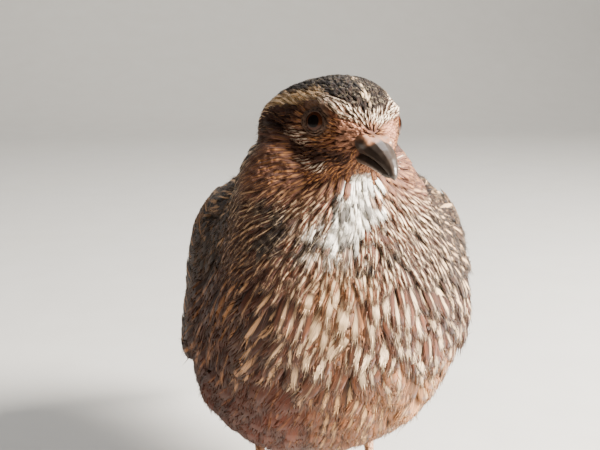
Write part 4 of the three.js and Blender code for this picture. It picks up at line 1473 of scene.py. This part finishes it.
FOOT = {"%s_%s" % (side, digit): np.array(ends_xy) for side in ("right", "left") for digit in DIGITS
        for ends_xy in [[float(v) for v in (coordinates(nodes["shank_" + side])[
            coordinates(nodes["shank_" + side])[:, 2] < np.quantile(coordinates(nodes["shank_" + side])[:, 2], 0.1)]
            .mean(0)[:2])]]}
plate = model_plate()
for side in ("right", "left"):
    leg_solids = ["shank_" + side] + ["toe_%s_%s" % (side, digit) for digit in DIGITS]
    leg = remade(leg_solids, "leg_" + side, 0.38, swell=0.2, smooth=3)
    leg.data.materials.append(leg_skin.material)
    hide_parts(*leg_solids)
    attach(leg, "root")
    scutes = lay_plates(plate, leg, side)
    scutes.data.materials.append(leg_skin.material)
    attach(scutes, "root")
    claw_solids = ["claw_%s_%s" % (side, digit) for digit in DIGITS]
    claws = remade(claw_solids, "claws_" + side, 0.22, smooth=2)
    claws.data.materials.append(claw_horn.material)
    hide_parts(*claw_solids)
    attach(claws, "root")
    print("leg", side, len(leg.data.polygons), "faces, plates", len(scutes.data.polygons), "claws",
          len(claws.data.polygons))
bpy.data.objects.remove(plate)


# %% [markdown]
# ## Wings and tail
# On a closed wing the small coverts lie in front like body feathers, and behind them come long feathers in
# rows, each row lying over the next. They are laid with the same vane, longer and wider, and with firmer
# tips that are hardly frayed.

# %% Small coverts over wings and tail
def dress_coverts():
    middle_y = triangle_middle[:, 1] / MM
    on_tail = owned_by(triangle_owner, "tail")
    open_place = on_tail & (middle_y < 66) | ~on_tail & ((middle_y < 4) | (np.abs(triangle_normals[:, 2]) > 0.28))
    drawn = scatter(40000, np.where(is_wing & open_place, 1.0, 0.0))
    x, y, z = (drawn["points"] / MM).T
    rear = ease(y, -10, 25) * ease(y, 66, 50)
    front = ease(y, -16, -26)
    drawn.update(length=8.6 + 1.6 * rear - 1.8 * front, half=2.5 + 0.3 * rear - 0.5 * front)
    kept = thin_out(drawn, drawn["half"] * 0.80 * MM, 1.6)
    count = len(kept["points"])
    turn = 0.6 * ruffle(kept["points"]) + rng.normal(0, 0.06, count)
    headings = turned(lie(kept["points"], kept["normals"], kept["wing"]), kept["normals"], turn)
    look = markings(kept["points"], kept["owner"], kept["wing"])
    look["ground"] = look["ground"] * rng.normal(1.0, 0.18, (count, 1)).clip(0.5, 1.6)
    look["streak"] = np.where(rng.random(count) < 0.36, rng.uniform(0.16, 0.32, count), 0.02)
    look["mark"] = look["mark"] * rng.normal(0.95, 0.14, (count, 1)).clip(0.5, 1.1)
    look["bars"] = rng.uniform(0.3, 0.9, count)
    rises = (0.9 + 0.4 * rng.random(count)) * (1 - 0.35 * ease(kept["points"][:, 1] / MM, -16, -26)) * MM
    lengths, stays = fitted(kept["points"], headings, kept["length"] * rng.uniform(0.8, 1.2, count) * MM, 0.8)
    piece = lay_feathers("feathers_coverts", kept["points"][stays], headings[stays], lengths[stays],
                         kept["half"][stays] * MM, rises[stays], {k: v[stays] for k, v in look.items()}, 6, 4,
                         kept["uv"][stays], fray=0.22, strands=6)
    print("coverts", count)
    return [piece]


wear(dress_coverts(), body_vane)


# %% Long feathers in rows
def wing_place(side, along, across):
    """A place on the closed wing seen from the side: along from 0 at the shoulder to 1 at the tip, across -1 to 1."""
    own = skin_points[owned_by(skin_owner, "wing_" + side)] / MM
    start, end = own[:, 1].min(), own[:, 1].max()
    bins = np.linspace(start, end, 13)
    lows, highs = [], []
    for low, high in zip(bins[:-1], bins[1:]):
        heights = own[(own[:, 1] >= low) & (own[:, 1] <= high), 2]
        lows.append(np.percentile(heights, 4))
        highs.append(np.percentile(heights, 96))
    middle = (bins[:-1] + bins[1:]) / 2
    y = start + along * (end - start)
    low, high = np.interp(y, middle, lows), np.interp(y, middle, highs)
    return np.array([y, low + (high - low) * (across + 1) / 2])


def from_side(side, spot):
    """The skin's place, its outward direction and its triangle, looking straight at the bird's side."""
    sign = 1 if side == "left" else -1
    hit = skin_tree.ray_cast(Vector((sign * 0.08, spot[0] * MM, spot[1] * MM)), Vector((-sign, 0, 0)))
    return hit if hit[0] is not None else skin_tree.find_nearest(
        Vector((sign * 0.03, spot[0] * MM, spot[1] * MM)))


# Rows from the lowest layer up: root and tip along the wing, how many, half width in mm, and how far they rise
WING_ROWS = [
    {"root": 0.60, "tip": 1.06, "count": 9, "low": -0.92, "high": 0.55, "half": 2.2, "rise": 0.6},
    {"root": 0.48, "tip": 0.98, "count": 12, "low": -0.88, "high": 0.86, "half": 2.5, "rise": 0.8},
    {"root": 0.38, "tip": 0.82, "count": 14, "low": -0.92, "high": 0.90, "half": 2.6, "rise": 1.0},
    {"root": 0.29, "tip": 0.64, "count": 15, "low": -0.94, "high": 0.92, "half": 2.6, "rise": 1.2},
    {"root": 0.20, "tip": 0.50, "count": 16, "low": -0.95, "high": 0.92, "half": 2.5, "rise": 1.35},
    {"root": 0.12, "tip": 0.36, "count": 16, "low": -0.95, "high": 0.90, "half": 2.4, "rise": 1.45},
]


def dress_wing(side):
    spots, headings, lengths, halves, rises, uvs = [], [], [], [], [], []
    for row in WING_ROWS:
        for number in range(row["count"]):
            share = (number + rng.uniform(-0.2, 0.2)) / (row["count"] - 1)
            across = row["low"] + (row["high"] - row["low"]) * min(max(share, 0), 1)
            root = wing_place(side, row["root"] + 0.03 * (number % 2) - 0.05 * share + rng.uniform(-0.01, 0.01), across)
            tip_along = row["tip"] - 0.09 * abs(across) - 0.03 * (number % 3) + rng.uniform(-0.02, 0.02)
            tip = wing_place(side, min(tip_along, 0.999), across * 0.82)
            tip[0] += max(tip_along - 0.999, 0) * 88
            place, normal, triangle = from_side(side, root)[:3]
            spots.append(place)
            ahead = np.array((0, *(tip - root))) / np.linalg.norm(tip - root)
            headings.append(unit(ahead - ahead @ np.array(normal) * np.array(normal)))
            lengths.append(np.linalg.norm(tip - root) * MM)
            halves.append(row["half"] * rng.uniform(0.88, 1.1) * MM)
            rises.append((row["rise"] + 0.2 * share) * MM)
            uvs.append(triangle_uv[triangle])
    count = len(spots)
    spots, headings, lengths = np.array(spots), np.array(headings), np.array(lengths)
    lengths, stays = fitted(spots, headings, lengths, 1.6, 0.0)
    look = markings(spots, np.full(count, NAMED.index("wing_" + side)))
    look["ground"] = look["ground"] * rng.normal(1.0, 0.22, (count, 1)).clip(0.5, 1.6)
    look["mark"] = look["mark"] * rng.normal(0.95, 0.12, (count, 1)).clip(0.6, 1.08)
    look["streak"] = np.where(rng.random(count) < 0.55, 0.13, 0.05) * rng.uniform(0.7, 1.4, count)
    look["bars"] = rng.uniform(0.3, 0.75, count)
    look["tip"] = rng.uniform(0.1, 0.5, count)
    piece = lay_feathers("feathers_wing_" + side, spots[stays], headings[stays], lengths[stays],
                         np.array(halves)[stays], np.array(rises)[stays], {k: v[stays] for k, v in look.items()},
                         10, 10, np.array(uvs)[stays], bow=0.10, fray=0.10, strands=14, splay=0.05)
    print("wing", side, int(stays.sum()), "long feathers of", count)
    return [piece]


def dress_tail():
    spots, headings, lengths, halves, rises, uvs = [], [], [], [], [], []
    for layer, (start, reach, fan, count, half, rise) in enumerate(
            ((54, 34, 6.0, 10, 3.3, 0.9), (51, 31, 7.5, 9, 3.2, 1.2), (44, 26, 9.5, 9, 3.2, 1.5))):
        for number in range(count):
            off = number / (count - 1) * 2 - 1
            # The middle feathers rise most, so that they lie on top
            hit = skin_tree.ray_cast(Vector((off * fan * MM + 0.0015, start * MM, 0.15)), Vector((0, 0, -1)))
            spots.append(hit[0])
            ahead = np.array((off * 0.10, 0.9, -0.44))
            normal = np.array(hit[1])
            headings.append(unit(ahead - ahead @ normal * normal))
            lengths.append((reach - 7 * off ** 2 + rng.uniform(-1, 1)) * MM)
            halves.append(half * MM)
            rises.append((rise + 0.35 * (1 - abs(off))) * MM)
            uvs.append(triangle_uv[hit[2]])
    count = len(spots)
    look = markings(np.array(spots), np.full(count, NAMED.index("tail")))
    look["ground"] = look["ground"] * rng.normal(0.95, 0.14, (count, 1)).clip(0.6, 1.4)
    look["streak"] = rng.uniform(0.05, 0.18, count)
    look["bars"] = np.full(count, 0.95)
    look["tip"] = np.full(count, 0.45)
    piece = lay_feathers("feathers_tail", np.array(spots), np.array(headings), np.array(lengths), np.array(halves),
                         np.array(rises), look, 8, 7, np.array(uvs), bow=0.15, fray=0.12, strands=10, splay=0.05)
    print("tail", count, "long feathers")
    return [piece]


for side in ("right", "left"):
    wear(dress_wing(side), flight_vane)
wear(dress_tail(), flight_vane)
